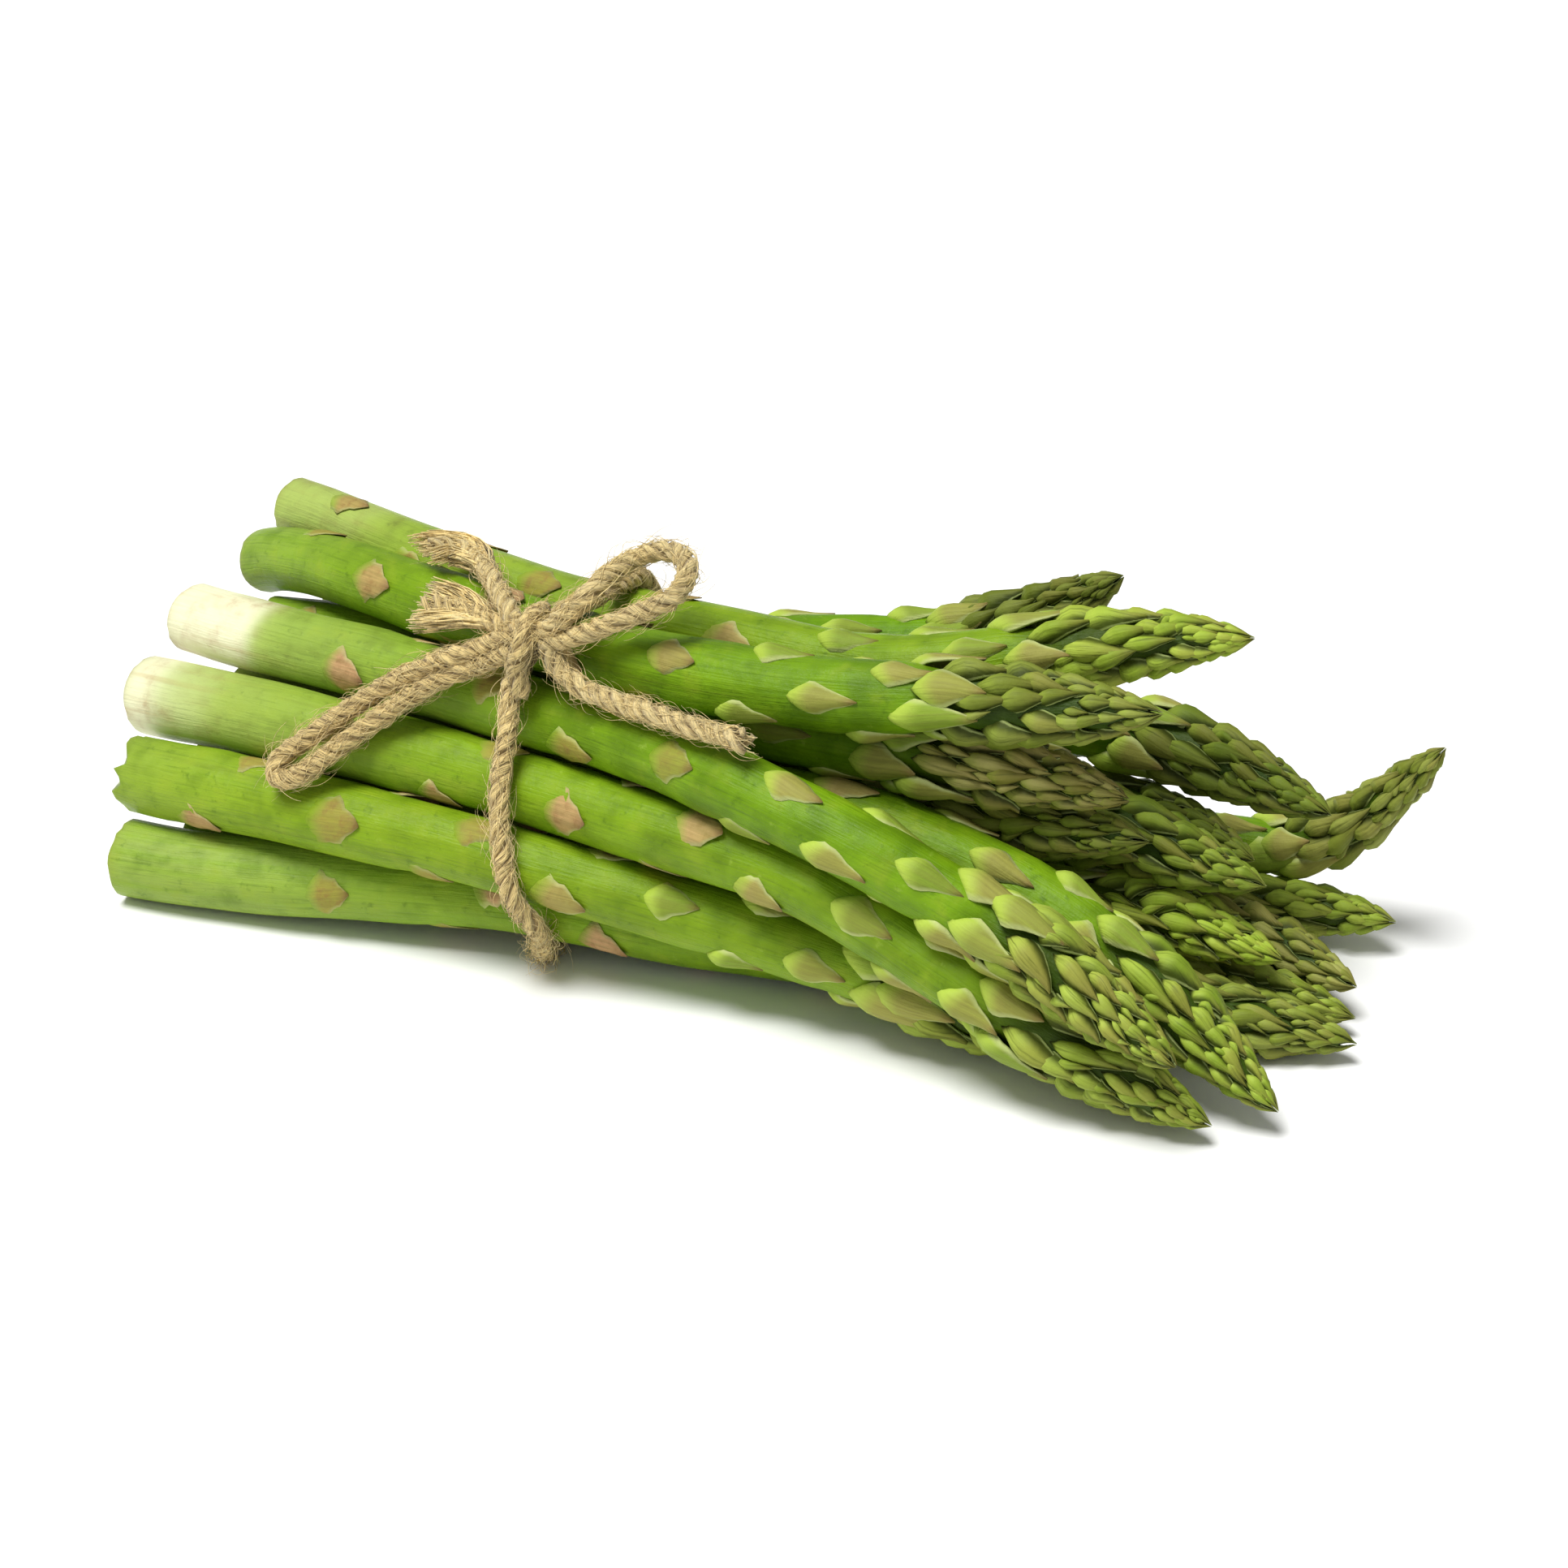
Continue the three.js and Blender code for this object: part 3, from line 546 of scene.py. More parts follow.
def jute_material():
    """Twisted jute: coarse dry plant fibre, so matt with a faint sheen, light and dark strands
    side by side, painted shade between its plies, and painted shade in the middle of the knot."""
    m = new_material("twisted jute fibre")
    grain = node(m, "ShaderNodeAttribute", attribute_name="grain")
    marks = node(m, "ShaderNodeAttribute", attribute_name="marks")
    groove_shade, knot_shade, chance = node(m, "ShaderNodeSeparateColor", {"Color": marks.outputs["Color"]}).outputs
    stretch = node(m, "ShaderNodeMapping", {"Vector": grain.outputs["Vector"], "Scale": JUTE_STRETCH})
    fibres = node(m, "ShaderNodeTexNoise", {
        "Vector": stretch.outputs["Vector"], "Scale": 1 / JUTE_FIBRE, "Detail": 4.0, "Roughness": 0.65,
    }).outputs["Fac"]
    colour = washes(m, linear("#5e451b"), [
        ("#f4d993", (fibres, 0.32, 0.58, 0.0, 1.0)),
        ("#f3e3aa", (chance, 0.0, 1.0, 0.0, 0.45)),
        # painted shade on the side of each ply that faces the twine's middle
        ("#6b4f26", (groove_shade, 0.6)),
        # painted shade in the middle of the knot
        ("#3a2911", (knot_shade, 0.8)),
    ])
    bump = node(m, "ShaderNodeBump", {"Height": fibres, "Strength": 0.8, "Distance": 0.0004})
    shader = node(m, "ShaderNodeBsdfPrincipled", {
        "Base Color": colour, "Roughness": 0.9, "Sheen Weight": 0.25, "Normal": bump.outputs["Normal"],
    })
    node(m, "ShaderNodeOutputMaterial", {"Surface": shader.outputs["BSDF"]})
    return m


ASPARAGUS = asparagus_material()
JUTE = jute_material()


# Spears

# Bracts: their spiral, how many at most, how far the first is from the tip in millimetres, the
# step to the next and what that gains, and how much free space lets one stand fully off
GOLDEN_ANGLE = math.pi * (3 - math.sqrt(5))
SPEAR_TURN = 1.9
BRACTS = 20
BRACT_START = 50.0
BRACT_STEP = 3.3
BRACT_GROWTH = 0.2
BRACT_LENGTH = 10.5
BRACT_ROOM = 1.5
NO_ROOM = 0.05
BARE_AT_CUT = 6.0
SWELLING = 0.32

# Head scales: where they start, where bracts give way to them, and their length, half width and
# step at the tip, each with what it gains towards the stem
HEAD_START = BRACT_START - 2.6
LAST_BRACT = 39.0
LAST_SCALES = 3
SCALE_JITTER = 0.26
SCALE_LENGTH, LENGTH_GAIN = 4.2, 0.23
SCALE_WIDTH, WIDTH_GAIN = 0.75, 0.068
SCALE_STEP, STEP_GAIN = 0.42, 0.00055

KIND_STEM, KIND_BRACT, KIND_SCALE = 0.0, 0.5, 1.0
TORN_SPEAR = 9
SPEAR_SEED = 100


def free_room(point, own):
    """Free space over a point: to the other spears and to the twine."""
    room = min(
        float((np.linalg.norm(way.middle - point, axis=1) - way.radii).min())
        for k, way in enumerate(WAYS) if k != own
    )
    to_twine = float(np.linalg.norm(TWINE_POINTS - point, axis=1).min())
    return min(room, to_twine - TWINE_RADIUS - TWINE_CLEAR)


def bract_places(index):
    """Where a spear's bracts grow: the distance from its tip, the side and the free room."""
    way = WAYS[index]
    found = []
    for k in range(BRACTS):
        base = BRACT_START + BRACT_STEP * k + BRACT_GROWTH * k * k
        if base > way.length - BARE_AT_CUT:
            break
        angle = index * SPEAR_TURN + k * GOLDEN_ANGLE
        body = float(way.girth(np.array([base]))[0])
        peak = way.place(np.array([base - 4.0]), np.array([angle]), np.array([body]))[0]
        found.append((base, angle, free_room(peak, index)))
    return found


def add_stem(build, index, draws):
    """The stem, from under the head to its cut end."""
    way = WAYS[index]
    chance = draws.random()
    points, faces = STEM
    round_x, round_y, along = points.T
    ring = np.clip(np.round((0.5 - along) * STEM_RINGS).astype(int), 0, STEM_RINGS)
    rings_at = np.concatenate([
        np.linspace(2.6, way.length - 0.9, STEM_RINGS - 1), [way.length - 0.25, way.length],
    ])
    from_tip = rings_at[ring]
    angle = np.arctan2(round_y, round_x)
    reach = np.hypot(round_x, round_y)
    full = way.girth(from_tip)
    in_head = 1 - smooth((from_tip - HEAD * 0.85) / 8.0)

    # Never quite round or straight: small waves, and a swelling under each bract
    wave = 0.014 * np.cos(2 * angle + chance * 6 + from_tip * 0.02)
    wave += 0.008 * np.cos(3 * angle + from_tip * 0.05)
    wave += 0.02 * np.sin(from_tip * 0.11 + chance * 9) * np.cos(angle - chance * 5)
    wave += 0.012 * np.sin(from_tip * 0.23 + chance * 4) + 0.006 * np.cos(8 * angle + 0.04 * from_tip)
    height = reach * full * (1 - 0.28 * in_head) * (1 + wave)
    for base, facing, room in bract_places(index):
        turned = (angle - facing + math.pi) % (2 * math.pi) - math.pi
        below = (from_tip - base - 2.5) / np.where(from_tip > base + 2.5, 7.0, 2.5)
        height += reach * SWELLING * min(max(room, 0.0), 1.0) * np.exp(-(below**2) - (turned / 0.5) ** 2)
    height = np.where(ring >= STEM_RINGS, height * 0.95, height)

    # The cut: a little slanted and uneven, and torn on one spear
    slant, facing = draws.uniform(0.2, 0.7), draws.uniform(0, 6)
    near_cut = smooth((from_tip - (way.length - 6.0)) / 6.0)
    rough = 0.25 * np.sin(angle * 5 + chance * 9) + 0.2 * np.sin(angle * 9 + 1)
    if index == TORN_SPEAR:
        rough += 2.4 * np.abs(np.sin(angle * 1.5 + 1) * np.sin(angle * 4 + 2)) + 0.5 * np.sin(angle * 11)
        height *= 1 - 0.1 * near_cut * np.maximum(np.sin(angle * 7), 0)
    from_tip = from_tip - near_cut * reach**3 * (slant * (1 + np.cos(angle - facing)) + np.abs(rough))
    from_tip = np.where((ring >= STEM_RINGS) & (reach < 0.95), from_tip - 0.5 * (1 - reach**2), from_tip)
    placed = way.place(from_tip, angle, height)
    cut = (ring >= STEM_RINGS) & (reach < 0.97)
    rim = 0.5 * np.exp(-np.maximum(way.length - from_tip, 0) / 1.3)
    marks = np.column_stack([
        np.where(cut, 1.0, rim), reach, np.full(len(points), chance), np.full(len(points), KIND_STEM),
    ])
    grain = np.column_stack([
        np.cos(angle) * full * reach, np.sin(angle) * full * reach + chance * 90, from_tip,
    ])
    build.add(placed, faces, marks, grain)
    return len(points)


def add_scale(build, way, base, tip, angle, half_width, shape, chance):
    """One scale: shape gives its outline and how it stands off the stem."""
    points, faces = BRACT if shape["kind"] == KIND_BRACT else SCALE
    across, t, deep = points[:, 0], ((points[:, 1] + 1) / 2) ** ROUND_ROOT, points[:, 2]
    width = np.interp(t, shape["outline_at"], shape["outline"])
    width *= 1 + shape["ragged"] * np.sin(15 * t + 40 * chance + 2 * np.sign(across))
    lag = shape["lag"] * np.abs(across) ** 1.6 * (1 - t)
    from_tip = base - (t + lag) * (base - tip)
    middle = base - 0.5 * (base - tip)
    body = float(way.girth(np.array([middle]))[0])
    spread = half_width / max(body, 1.2)
    turned = angle + across * width * spread + shape["twist"] * t
    ground = way.girth(np.maximum(from_tip, 0.0))
    rise = np.interp(t, shape["rise_at"], shape["rise"])
    swell = np.where(t < 0.3, smooth((t + 0.04) / 0.34), np.exp(-(((t - 0.3) / 0.36) ** 2)))
    crown = shape["crown"] * (1 - np.abs(across) ** 2.2) * swell
    keel = shape["keel"] * np.exp(-((across / 0.2) ** 2)) * np.sin(np.pi * t)
    fold = shape["fold"] * np.cos(3 * np.pi * across + chance * 6) * np.sin(np.pi * t)
    reach = shape["reach"] * (shape["root"] + (1 - shape["root"]) * smooth(t / 0.5))
    height = ground * reach + rise + crown + keel + fold
    height = height - shape["side_drop"] * across**2 * (1 - 0.6 * t)
    height = height + deep * shape["thick"] * (1 - 0.6 * t)
    placed = way.place(from_tip, turned, np.maximum(height, 0.12))
    marks = np.column_stack([t, np.abs(across), np.full(len(t), chance), np.full(len(t), shape["kind"])])
    grain = np.column_stack([across * width * half_width + chance * 70, deep, from_tip + chance * 0.01])
    build.add(placed, faces, marks, grain)


def head_scale_shape(opening, size, draw):
    """A plump scale: a rounded bulge at its root and a narrow tail towards the tip."""
    lift = (0.26 + 1.3 * opening) * size
    tip_rise = (lift * (0.7 + 0.6 * draw) - 0.15) * min(size * 1.4, 1.0)
    return {
        "outline_at": [0, 0.1, 0.24, 0.42, 0.65, 0.85, 1.0],
        "outline": [0.45, 0.84, 1.0, 0.9, 0.56, 0.27, 0.03],
        "rise_at": [0, 0.12, 0.3, 0.65, 0.85, 1.0],
        "rise": [-0.5 * size, 0.25 * size, 0.5 * size, 0.25 * size + 0.3 * lift, 0.6 * lift, tip_rise],
        "crown": 1.0 * size, "keel": 0.25 * size, "fold": 0.1 * size, "root": 0.84, "side_drop": 1.6 * size,
        "thick": 0.5 * size, "lag": 0.15, "twist": 0.85 * (draw - 0.5), "reach": 0.93, "kind": KIND_SCALE,
        "ragged": 0.03,
    }


def bract_shape(room, draw, young):
    """A bract: near the head a bulge with a thin tail, lower down a dry flap with a free tip."""
    lift = min(max(room / BRACT_ROOM, 0.25), 1.0)
    old = 1 - young
    outline = np.array([0.5, 0.84, 1.0, 0.88, 0.5, 0.24, 0.02]) * young
    outline += np.array([0.7, 0.9, 1.0, 0.93, 0.6, 0.27, 0.03]) * old
    peel = max(draw - 0.75, 0) * 5 * old
    rise = np.array([0.0, 0.35, 0.8, 0.6, 0.3, 0.1 + 0.5 * draw]) * young
    rise += np.array([0.0, 0.02, 0.1, 0.24 + 0.3 * peel, 0.36 + 0.8 * peel, 0.35 + 0.5 * draw + peel]) * old
    rise *= lift
    rise[0] = -0.4 - 0.2 * young
    return {
        "outline_at": [0, 0.06, 0.17, 0.34, 0.6, 0.85, 1.0], "outline": outline,
        "rise_at": [0, 0.07, 0.2, 0.42, 0.75, 1.0], "rise": rise,
        "crown": (0.15 + 0.75 * young) * lift, "keel": 0.22 * lift, "fold": 0.05 + 0.08 * old, "root": 1.0,
        "side_drop": (0.15 + 0.5 * young) * lift, "thick": 0.3 + 0.2 * young, "lag": 0.22,
        "twist": 0.3 * (draw - 0.5), "reach": 1.0, "kind": KIND_BRACT,
        "ragged": 0.04 + 0.09 * old,
    }


def add_head(build, index, draws, opening):
    """Plump scales that carry the bracts' spiral on to the tip, ever smaller and closer."""
    way = WAYS[index]
    base = HEAD_START
    angle = index * SPEAR_TURN - GOLDEN_ANGLE
    while base > 4.0:
        body = float(way.girth(np.array([base - 2]))[0])
        draw = draws.random()
        turned = angle + draws.uniform(-SCALE_JITTER, SCALE_JITTER)
        room = free_room(way.place(np.array([base - 3]), np.array([turned]), np.array([body]))[0], index)
        open_here = opening * min(max(room / 2.5, 0.0), 1.0)
        pressed = min(max(room / 1.4, 0.35), 1.0)
        length = (SCALE_LENGTH + LENGTH_GAIN * base) * draws.uniform(0.85, 1.2)
        half_width = (SCALE_WIDTH + WIDTH_GAIN * base) * draws.uniform(0.8, 1.25)
        size = min(half_width / 2.6, 1.15)
        if base > LAST_BRACT:
            shape = bract_shape(room, draw, 1.0)
        else:
            shape = head_scale_shape(open_here, size, draw)
        shape["crown"] *= pressed
        add_scale(build, way, base, max(base - length, -0.3), turned, half_width, shape, draw)
        if base < LAST_BRACT and draws.random() < 0.25 + 0.6 * opening:
            bud = head_scale_shape(open_here * 0.6, 0.6 * size, draw)
            bud["reach"] = 0.97
            start = base - draws.uniform(0.5, 2.5)
            add_scale(
                build, way, start, max(start - 0.5 * length, 0.0), turned + draws.choice([-1, 1]) * 0.42,
                half_width * 0.5, bud, draws.uniform(0, 0.6),
            )
        base -= SCALE_STEP + STEP_GAIN * base * base
        angle -= GOLDEN_ANGLE
    last_shape = head_scale_shape(0.0, 0.35, 0.2)
    for i in range(LAST_SCALES):
        add_scale(build, way, 7.0, -0.4, index + 0.5 + i * 2.1, 1.1, last_shape, draws.random())


def add_bracts(build, index, draws):
    """Bracts down the stem, wherever one has room."""
    way = WAYS[index]
    for base, angle, room in bract_places(index):
        draw = draws.random()
        body = float(way.girth(np.array([base]))[0])
        if room < NO_ROOM:
            continue
        young = 1 - smooth((base - 58) / 50)
        length = (BRACT_LENGTH + 2.5 * young) * draws.uniform(0.85, 1.1)
        half_width = body * (0.74 - 0.22 * young) * draws.uniform(0.85, 1.15)
        add_scale(
            build, way, base + draws.uniform(-1, 1), base - length, angle, half_width,
            bract_shape(room, draw, young), draw,
        )


def build_spear(index):
    """One spear, with the tones of its skin."""
    way = WAYS[index]
    draws = random.Random(SPEAR_SEED + index)
    purple, deep, yellow, pale_length, white, opening = LOOKS[index]
    build = Build()
    stem_points = add_stem(build, index, draws)
    add_head(build, index, draws, opening)
    add_bracts(build, index, draws)
    name = f"asparagus_spear_{index + 1:02d}"
    one = build.piece(name, ASPARAGUS, [f"spear_{index + 1:02d}"], "asparagus_skin")
    grain = np.concatenate(build.grain)
    from_butt = way.length - grain[:, 2]
    round_stem = np.arctan2(grain[:, 1], grain[:, 0])
    ragged = 4.0 * np.sin(round_stem * 2 + index) + 2.5 * np.sin(round_stem * 5 + from_butt * 0.3)
    ragged = ragged if pale_length else 0.0
    pale = smooth((pale_length + ragged - from_butt) / 20.0) * white
    pale += 0.4 * smooth((2.6 * pale_length + ragged - from_butt) / 40.0) * min(white, 1.3 - white)
    pale = np.minimum(pale, 1.0)
    pale[stem_points:] *= 0.4
    flat = np.ones(len(pale))
    tone = one.data.attributes.new("tone", "FLOAT_COLOR", "POINT")
    tones = np.column_stack([flat * purple, flat * yellow, pale, flat * deep])
    tone.data.foreach_set("color", tones.astype(np.float32).ravel())


# Twine

TWINE_RADIUS = 1.8
TWINE_GAP = 0.5
TWINE_CLEAR = 0.2
HULL_STEPS = 72
HULL_MIDDLE = np.array([0.0, 31.0])
DEGREES_TO_MM = 0.6
LAY = 8.2
PLIES = 3
PLY_RADIUS = 0.98
PLY_SIDES = 16
PLY_STEP = 0.55

# Loose fibres: how many to a millimetre of twine, how long at most, and their radii
BAND_HAIRS, BOW_HAIRS, LOW_FRONT_HAIRS, WISPS = 6.0, 8.0, 12.0, 2.5
LONGEST_HAIR, LONGEST_LOW_HAIR = 6.5, 9.0
HAIR_RADII, WISP_RADII, STRAND_RADII = (0.035, 0.075), (0.06, 0.13), (0.1, 0.36)
FIBRE_SEED = 7

# The knot: its place, and the width of the painted shade in its middle and where that fades out above the
# stems
KNOT_PLACE = (1.0, 121.0)
KNOT_SHADE_REACH, KNOT_SHADE_TOP, KNOT_SHADE_FADE = 5.0, 6.2, 3.5

# Ways of the twine: x, the angle round the bundle in degrees, and how far it stands off
BAND = [
    (-1, 118, 0), (-3, 132, 0), (-1, 150, 0), (0, 166, 0), (2, 180, 0), (5, 191, 0), (7, 202, 0),
    (8, 216, 0), (3, 236, 0), (-2, 254, 0), (-3, 275, 0), (-3, 300, 0), (-2, 325, 0), (-1, 350, 0),
    (0, 375, 0), (1, 400, 0), (3, 420, 0), (4, 440, 0), (3, 460, 0), (-1, 478, 0),
]
KNOT_CROSS = [(-7, 118, 1.2), (-2, 120, 4.4), (2, 119, 4.6), (6, 116, 1.6)]
KNOT_WRAP = [(0, 136, 0.5), (-1, 130, 3.5), (0, 125, 5.8), (0, 118, 5.6), (-1, 110, 1)]
RIGHT_LOOP = [
    (2, 119, 4), (5, 116, 5), (8, 110, 6), (10, 102, 7.5), (12, 95, 9), (16, 92, 10.5), (21, 93, 11),
    (25, 99, 9.5), (24, 104, 7), (19, 108, 5), (14, 112, 3.5), (8, 117, 3), (3, 121, 3.5),
]
LEFT_LOOP = [
    (-3, 121, 4), (-11, 128, 3), (-20, 137, 1.6), (-27, 147, 1), (-33, 160, 0.8), (-38, 170, 0.8),
    (-41, 175, 1), (-41, 180, 1), (-37, 179, 0.8), (-32, 171, 0.6), (-26, 158, 0.6), (-19, 144, 0.8),
    (-11, 132, 1.6), (-3, 125, 3.2),
]
RIGHT_TAIL = [
    (3, 120, 3.6), (6, 125, 1.6), (12, 129, 0.4), (18, 130, 0.2), (25, 131, 0.4), (33, 132, 0.6),
    (40, 132, 0.6), (46, 132, 1),
]
UPPER_TAIL = [(-4, 118, 4), (-10, 110, 2.6), (-18, 99, 1.2), (-24, 92, 0.8), (-28, 92, 1), (-30, 98, 1.4)]
SHORT_TAIL = [(-5, 120, 3.6), (-10, 118, 2.6), (-15, 116, 1.6), (-20, 116, 1.2), (-24, 117, 1.6)]

HULL_CACHE = {}


def hull_support(x):
    """How far the stems reach from the bundle's middle, all the way round, where they pass x."""
    key = round(x * 4) / 4
    if key not in HULL_CACHE:
        turn = np.arange(HULL_STEPS) / HULL_STEPS * 2 * np.pi
        far = np.zeros(HULL_STEPS)
        for i, spear in enumerate(SPEARS):
            if key < spear[2][0] + 1 or key > spear[5][0] - 1:
                continue
            p = middle_at(i, np.array([key]))[0, 1:] - HULL_MIDDLE
            k = int(round((key - STATION_START) / STATION_STEP))
            far = np.maximum(far, p[0] * np.cos(turn) + p[1] * np.sin(turn) + LAID_RADIUS[i][k])
        HULL_CACHE[key] = far
    return HULL_CACHE[key]


def on_hull(x, degrees, off):
    """A point of the twine's middle line, on the stems or off them."""
    angle = math.radians(degrees)
    facing = np.cos(np.arange(HULL_STEPS) / HULL_STEPS * 2 * np.pi - angle)
    far = hull_support(x) + TWINE_RADIUS + TWINE_GAP + off
    rho = np.min(np.where(facing > 0.05, far / np.maximum(facing, 0.05), np.inf))
    return [x, HULL_MIDDLE[0] + rho * math.cos(angle), HULL_MIDDLE[1] + rho * math.sin(angle)]


def curve_through(points, per_part):
    """A centripetal curve through the points."""
    points = np.asarray(points, float)
    ends = np.vstack([2 * points[0] - points[1], points, 2 * points[-1] - points[-2]])
    out = []
    for i in range(len(points) - 1):
        p0, p1, p2, p3 = ends[i:i + 4]
        t1 = np.sqrt(np.linalg.norm(p1 - p0))
        t2 = t1 + np.sqrt(np.linalg.norm(p2 - p1))
        t3 = t2 + np.sqrt(np.linalg.norm(p3 - p2))
        t = np.linspace(t1, t2, per_part, endpoint=False)[:, None]
        a1 = (t1 - t) / t1 * p0 + t / t1 * p1
        a2 = (t2 - t) / (t2 - t1) * p1 + (t - t1) / (t2 - t1) * p2
        a3 = (t3 - t) / (t3 - t2) * p2 + (t - t2) / (t3 - t2) * p3
        b1 = (t2 - t) / t2 * a1 + t / t2 * a2
        b2 = (t3 - t) / (t3 - t1) * a2 + (t - t1) / (t3 - t1) * a3
        out.append((t2 - t) / (t2 - t1) * b1 + (t - t1) / (t2 - t1) * b2)
    return np.vstack([*out, points[-1:]])


def evenly(points, step):
    """The same line with its points an even step apart."""
    mark = along_line(points)
    count = max(2, int(round(mark[-1] / step)))
    at = np.linspace(0, mark[-1], count + 1)
    return np.stack([np.interp(at, mark, points[:, k]) for k in range(3)], 1)


def strand_line(terms):
    """The middle line of a length of twine, smoothed, with even steps."""
    scaled = [(x, degrees * DEGREES_TO_MM, off) for x, degrees, off in terms]
    fine = evenly(curve_through(scaled, 20), 0.9)
    line = np.array([on_hull(x, d / DEGREES_TO_MM, off) for x, d, off in fine])
    for _ in range(3):
        line[1:-1] = line[1:-1] * 0.5 + 0.25 * (line[:-2] + line[2:])
    return evenly(line, PLY_STEP)


def tube_faces(rings, sides):
    """Faces of a closed tube, ring after ring."""
    faces = []
    for r in range(rings - 1):
        for s in range(sides):
            a, b = r * sides + s, r * sides + (s + 1) % sides
            faces.append((a, b, b + sides, a + sides))
    faces.append(tuple(reversed(range(sides))))
    faces.append(tuple((rings - 1) * sides + s for s in range(sides)))
    return faces


def add_ply(build, centre, out, radius, chance):
    """One ply as a tube: centre line, the direction away from the twine's middle, radii."""
    along = unit(np.gradient(centre, axis=0))
    out = unit(out - (out * along).sum(1)[:, None] * along)
    side = np.cross(along, out)
    turn = np.arange(PLY_SIDES) / PLY_SIDES * 2 * np.pi
    ring = out[:, None] * np.cos(turn)[None, :, None] + side[:, None] * np.sin(turn)[None, :, None]
    row = np.arange(len(centre))[:, None]
    lumps = 1 + 0.06 * np.sin(7.3 * row + 3.1 * np.arange(PLY_SIDES)[None] + chance * 9)
    lumps += 0.12 * np.cos(4 * turn[None] + 0.22 * row + chance * 6)
    tube = (centre[:, None] + ring * (radius[:, None] * lumps)[..., None]).reshape(-1, 3)
    rings = len(centre)
    # Painted shade: darker on the side of each ply that faces the twine's middle
    groove_shade = np.tile(smooth((1.0 - np.cos(turn)) / 1.1), rings)
    # Painted shade in the middle of the knot, fading out above the stems
    from_knot = tube - KNOT_FOOT
    high = from_knot @ KNOT_UP
    beside = np.linalg.norm(from_knot - high[:, None] * KNOT_UP, axis=1)
    knot_shade = np.exp(-((beside / KNOT_SHADE_REACH) ** 2)) * smooth((KNOT_SHADE_TOP - high) / KNOT_SHADE_FADE)
    marks = np.column_stack([groove_shade, knot_shade, np.full(len(tube), chance), np.zeros(len(tube))])
    grain = np.column_stack([
        np.tile(np.cos(turn), rings) + chance * 40, np.tile(np.sin(turn), rings),
        np.repeat(along_line(centre), PLY_SIDES),
    ])
    build.add(tube, tube_faces(rings, PLY_SIDES), marks, grain)


def frames(line):
    """Directions along a strand, away from the bundle and across."""
    along = unit(np.gradient(line, axis=0))
    away = line - np.array([0.0, *HULL_MIDDLE])
    away[:, 0] = 0.0
    first = unit(away - (away * along).sum(1)[:, None] * along)
    return along, first, np.cross(along, first)


def add_twine(build, line, draws, end_fray, light):
    """Three plies laid round each other, which open towards a frayed end."""
    along, first, second = frames(line)
    mark = along_line(line)
    untwist = np.zeros(len(mark))
    if end_fray:
        untwist = smooth((end_fray - (mark[-1] - mark)) / end_fray)
    for ply in range(PLIES):
        angle = 2 * np.pi * (mark / LAY + ply / PLIES)
        angle = angle + 0.5 * np.sin(mark * 0.31) + 0.3 * np.sin(mark * 0.77 + 1)
        out = first * np.cos(angle)[:, None] + second * np.sin(angle)[:, None]
        offset = (TWINE_RADIUS - PLY_RADIUS) * (1 + 1.2 * untwist)
        wave = 0.07 * np.sin(mark * 0.9 + ply * 2)
        wave += 0.06 * np.sin(mark * 2.3 + ply * 3 + draws.uniform(0, 6))
        radius = PLY_RADIUS * (1 + wave) * (1 - 0.45 * untwist)
        # light below 1 gives fewer light strands: painted shade, used on the band and knot
        add_ply(build, line + out * offset[:, None], out, radius, light * draws.random())


def add_fibre(build, points, radius, chance):
    """One loose fibre: a three-sided hair that thins to its end."""
    along = unit(np.gradient(points, axis=0))
    side = unit(np.cross(along, [0.31, 0.2, 0.93]))
    up = np.cross(along, side)
    count = len(points)
    thin = radius * np.linspace(1.0, 0.35, count)
    tube = []
    for s in range(3):
        a = s * 2 * math.pi / 3
        tube.append(points + (side * math.cos(a) + up * math.sin(a)) * thin[:, None])
    tube = np.stack(tube, 1).reshape(-1, 3)
    marks = np.tile([0.0, 0.0, chance, 0.0], (len(tube), 1))
    grain = np.column_stack([
        np.full(len(tube), chance * 40), np.zeros(len(tube)), np.repeat(np.arange(count), 3),
    ])
    build.add(tube, tube_faces(count, 3), marks, grain)


def add_fuzz(build, line, draws, per_mm, longest):
    """Loose hairs that leave the twine all along its length."""
    along = unit(np.gradient(line, axis=0))
    for _ in range(int(len(line) * PLY_STEP * per_mm)):
        k = draws.randrange(2, len(line) - 2)
        t = along[k]
        a = unit(np.cross(t, [draws.uniform(-1, 1) for _ in range(3)]))
        b = np.cross(t, a)
        length = draws.uniform(0.3, 1.0) ** 1.5 * longest
        lean = draws.choice([-1, 1]) * draws.uniform(0.5, 1.3)
        curl = draws.uniform(-1.0, 1.0)
        steps = np.linspace(0, 1, 7)[:, None]
        points = line[k] + a * (TWINE_RADIUS * 0.8) + t * lean * length * steps
        points = points + a * (length * draws.uniform(0.1, 0.4) * np.sin(steps * draws.uniform(1.6, 3.0)))
        points = points + b * (curl * length * 0.4 * steps**2)
        points[:, 2] = np.maximum(points[:, 2], 0.25)
        add_fibre(build, points, draws.uniform(*HAIR_RADII), draws.random())


def twine_piece(name, parts, seed, light):
    """Lengths of twine in one piece."""
    build = Build()
    draws = random.Random(seed)
    for part, fray in parts:
        add_twine(build, LINES[part], draws, fray, light)
    return build.piece(name, JUTE, ["twine"], "jute")


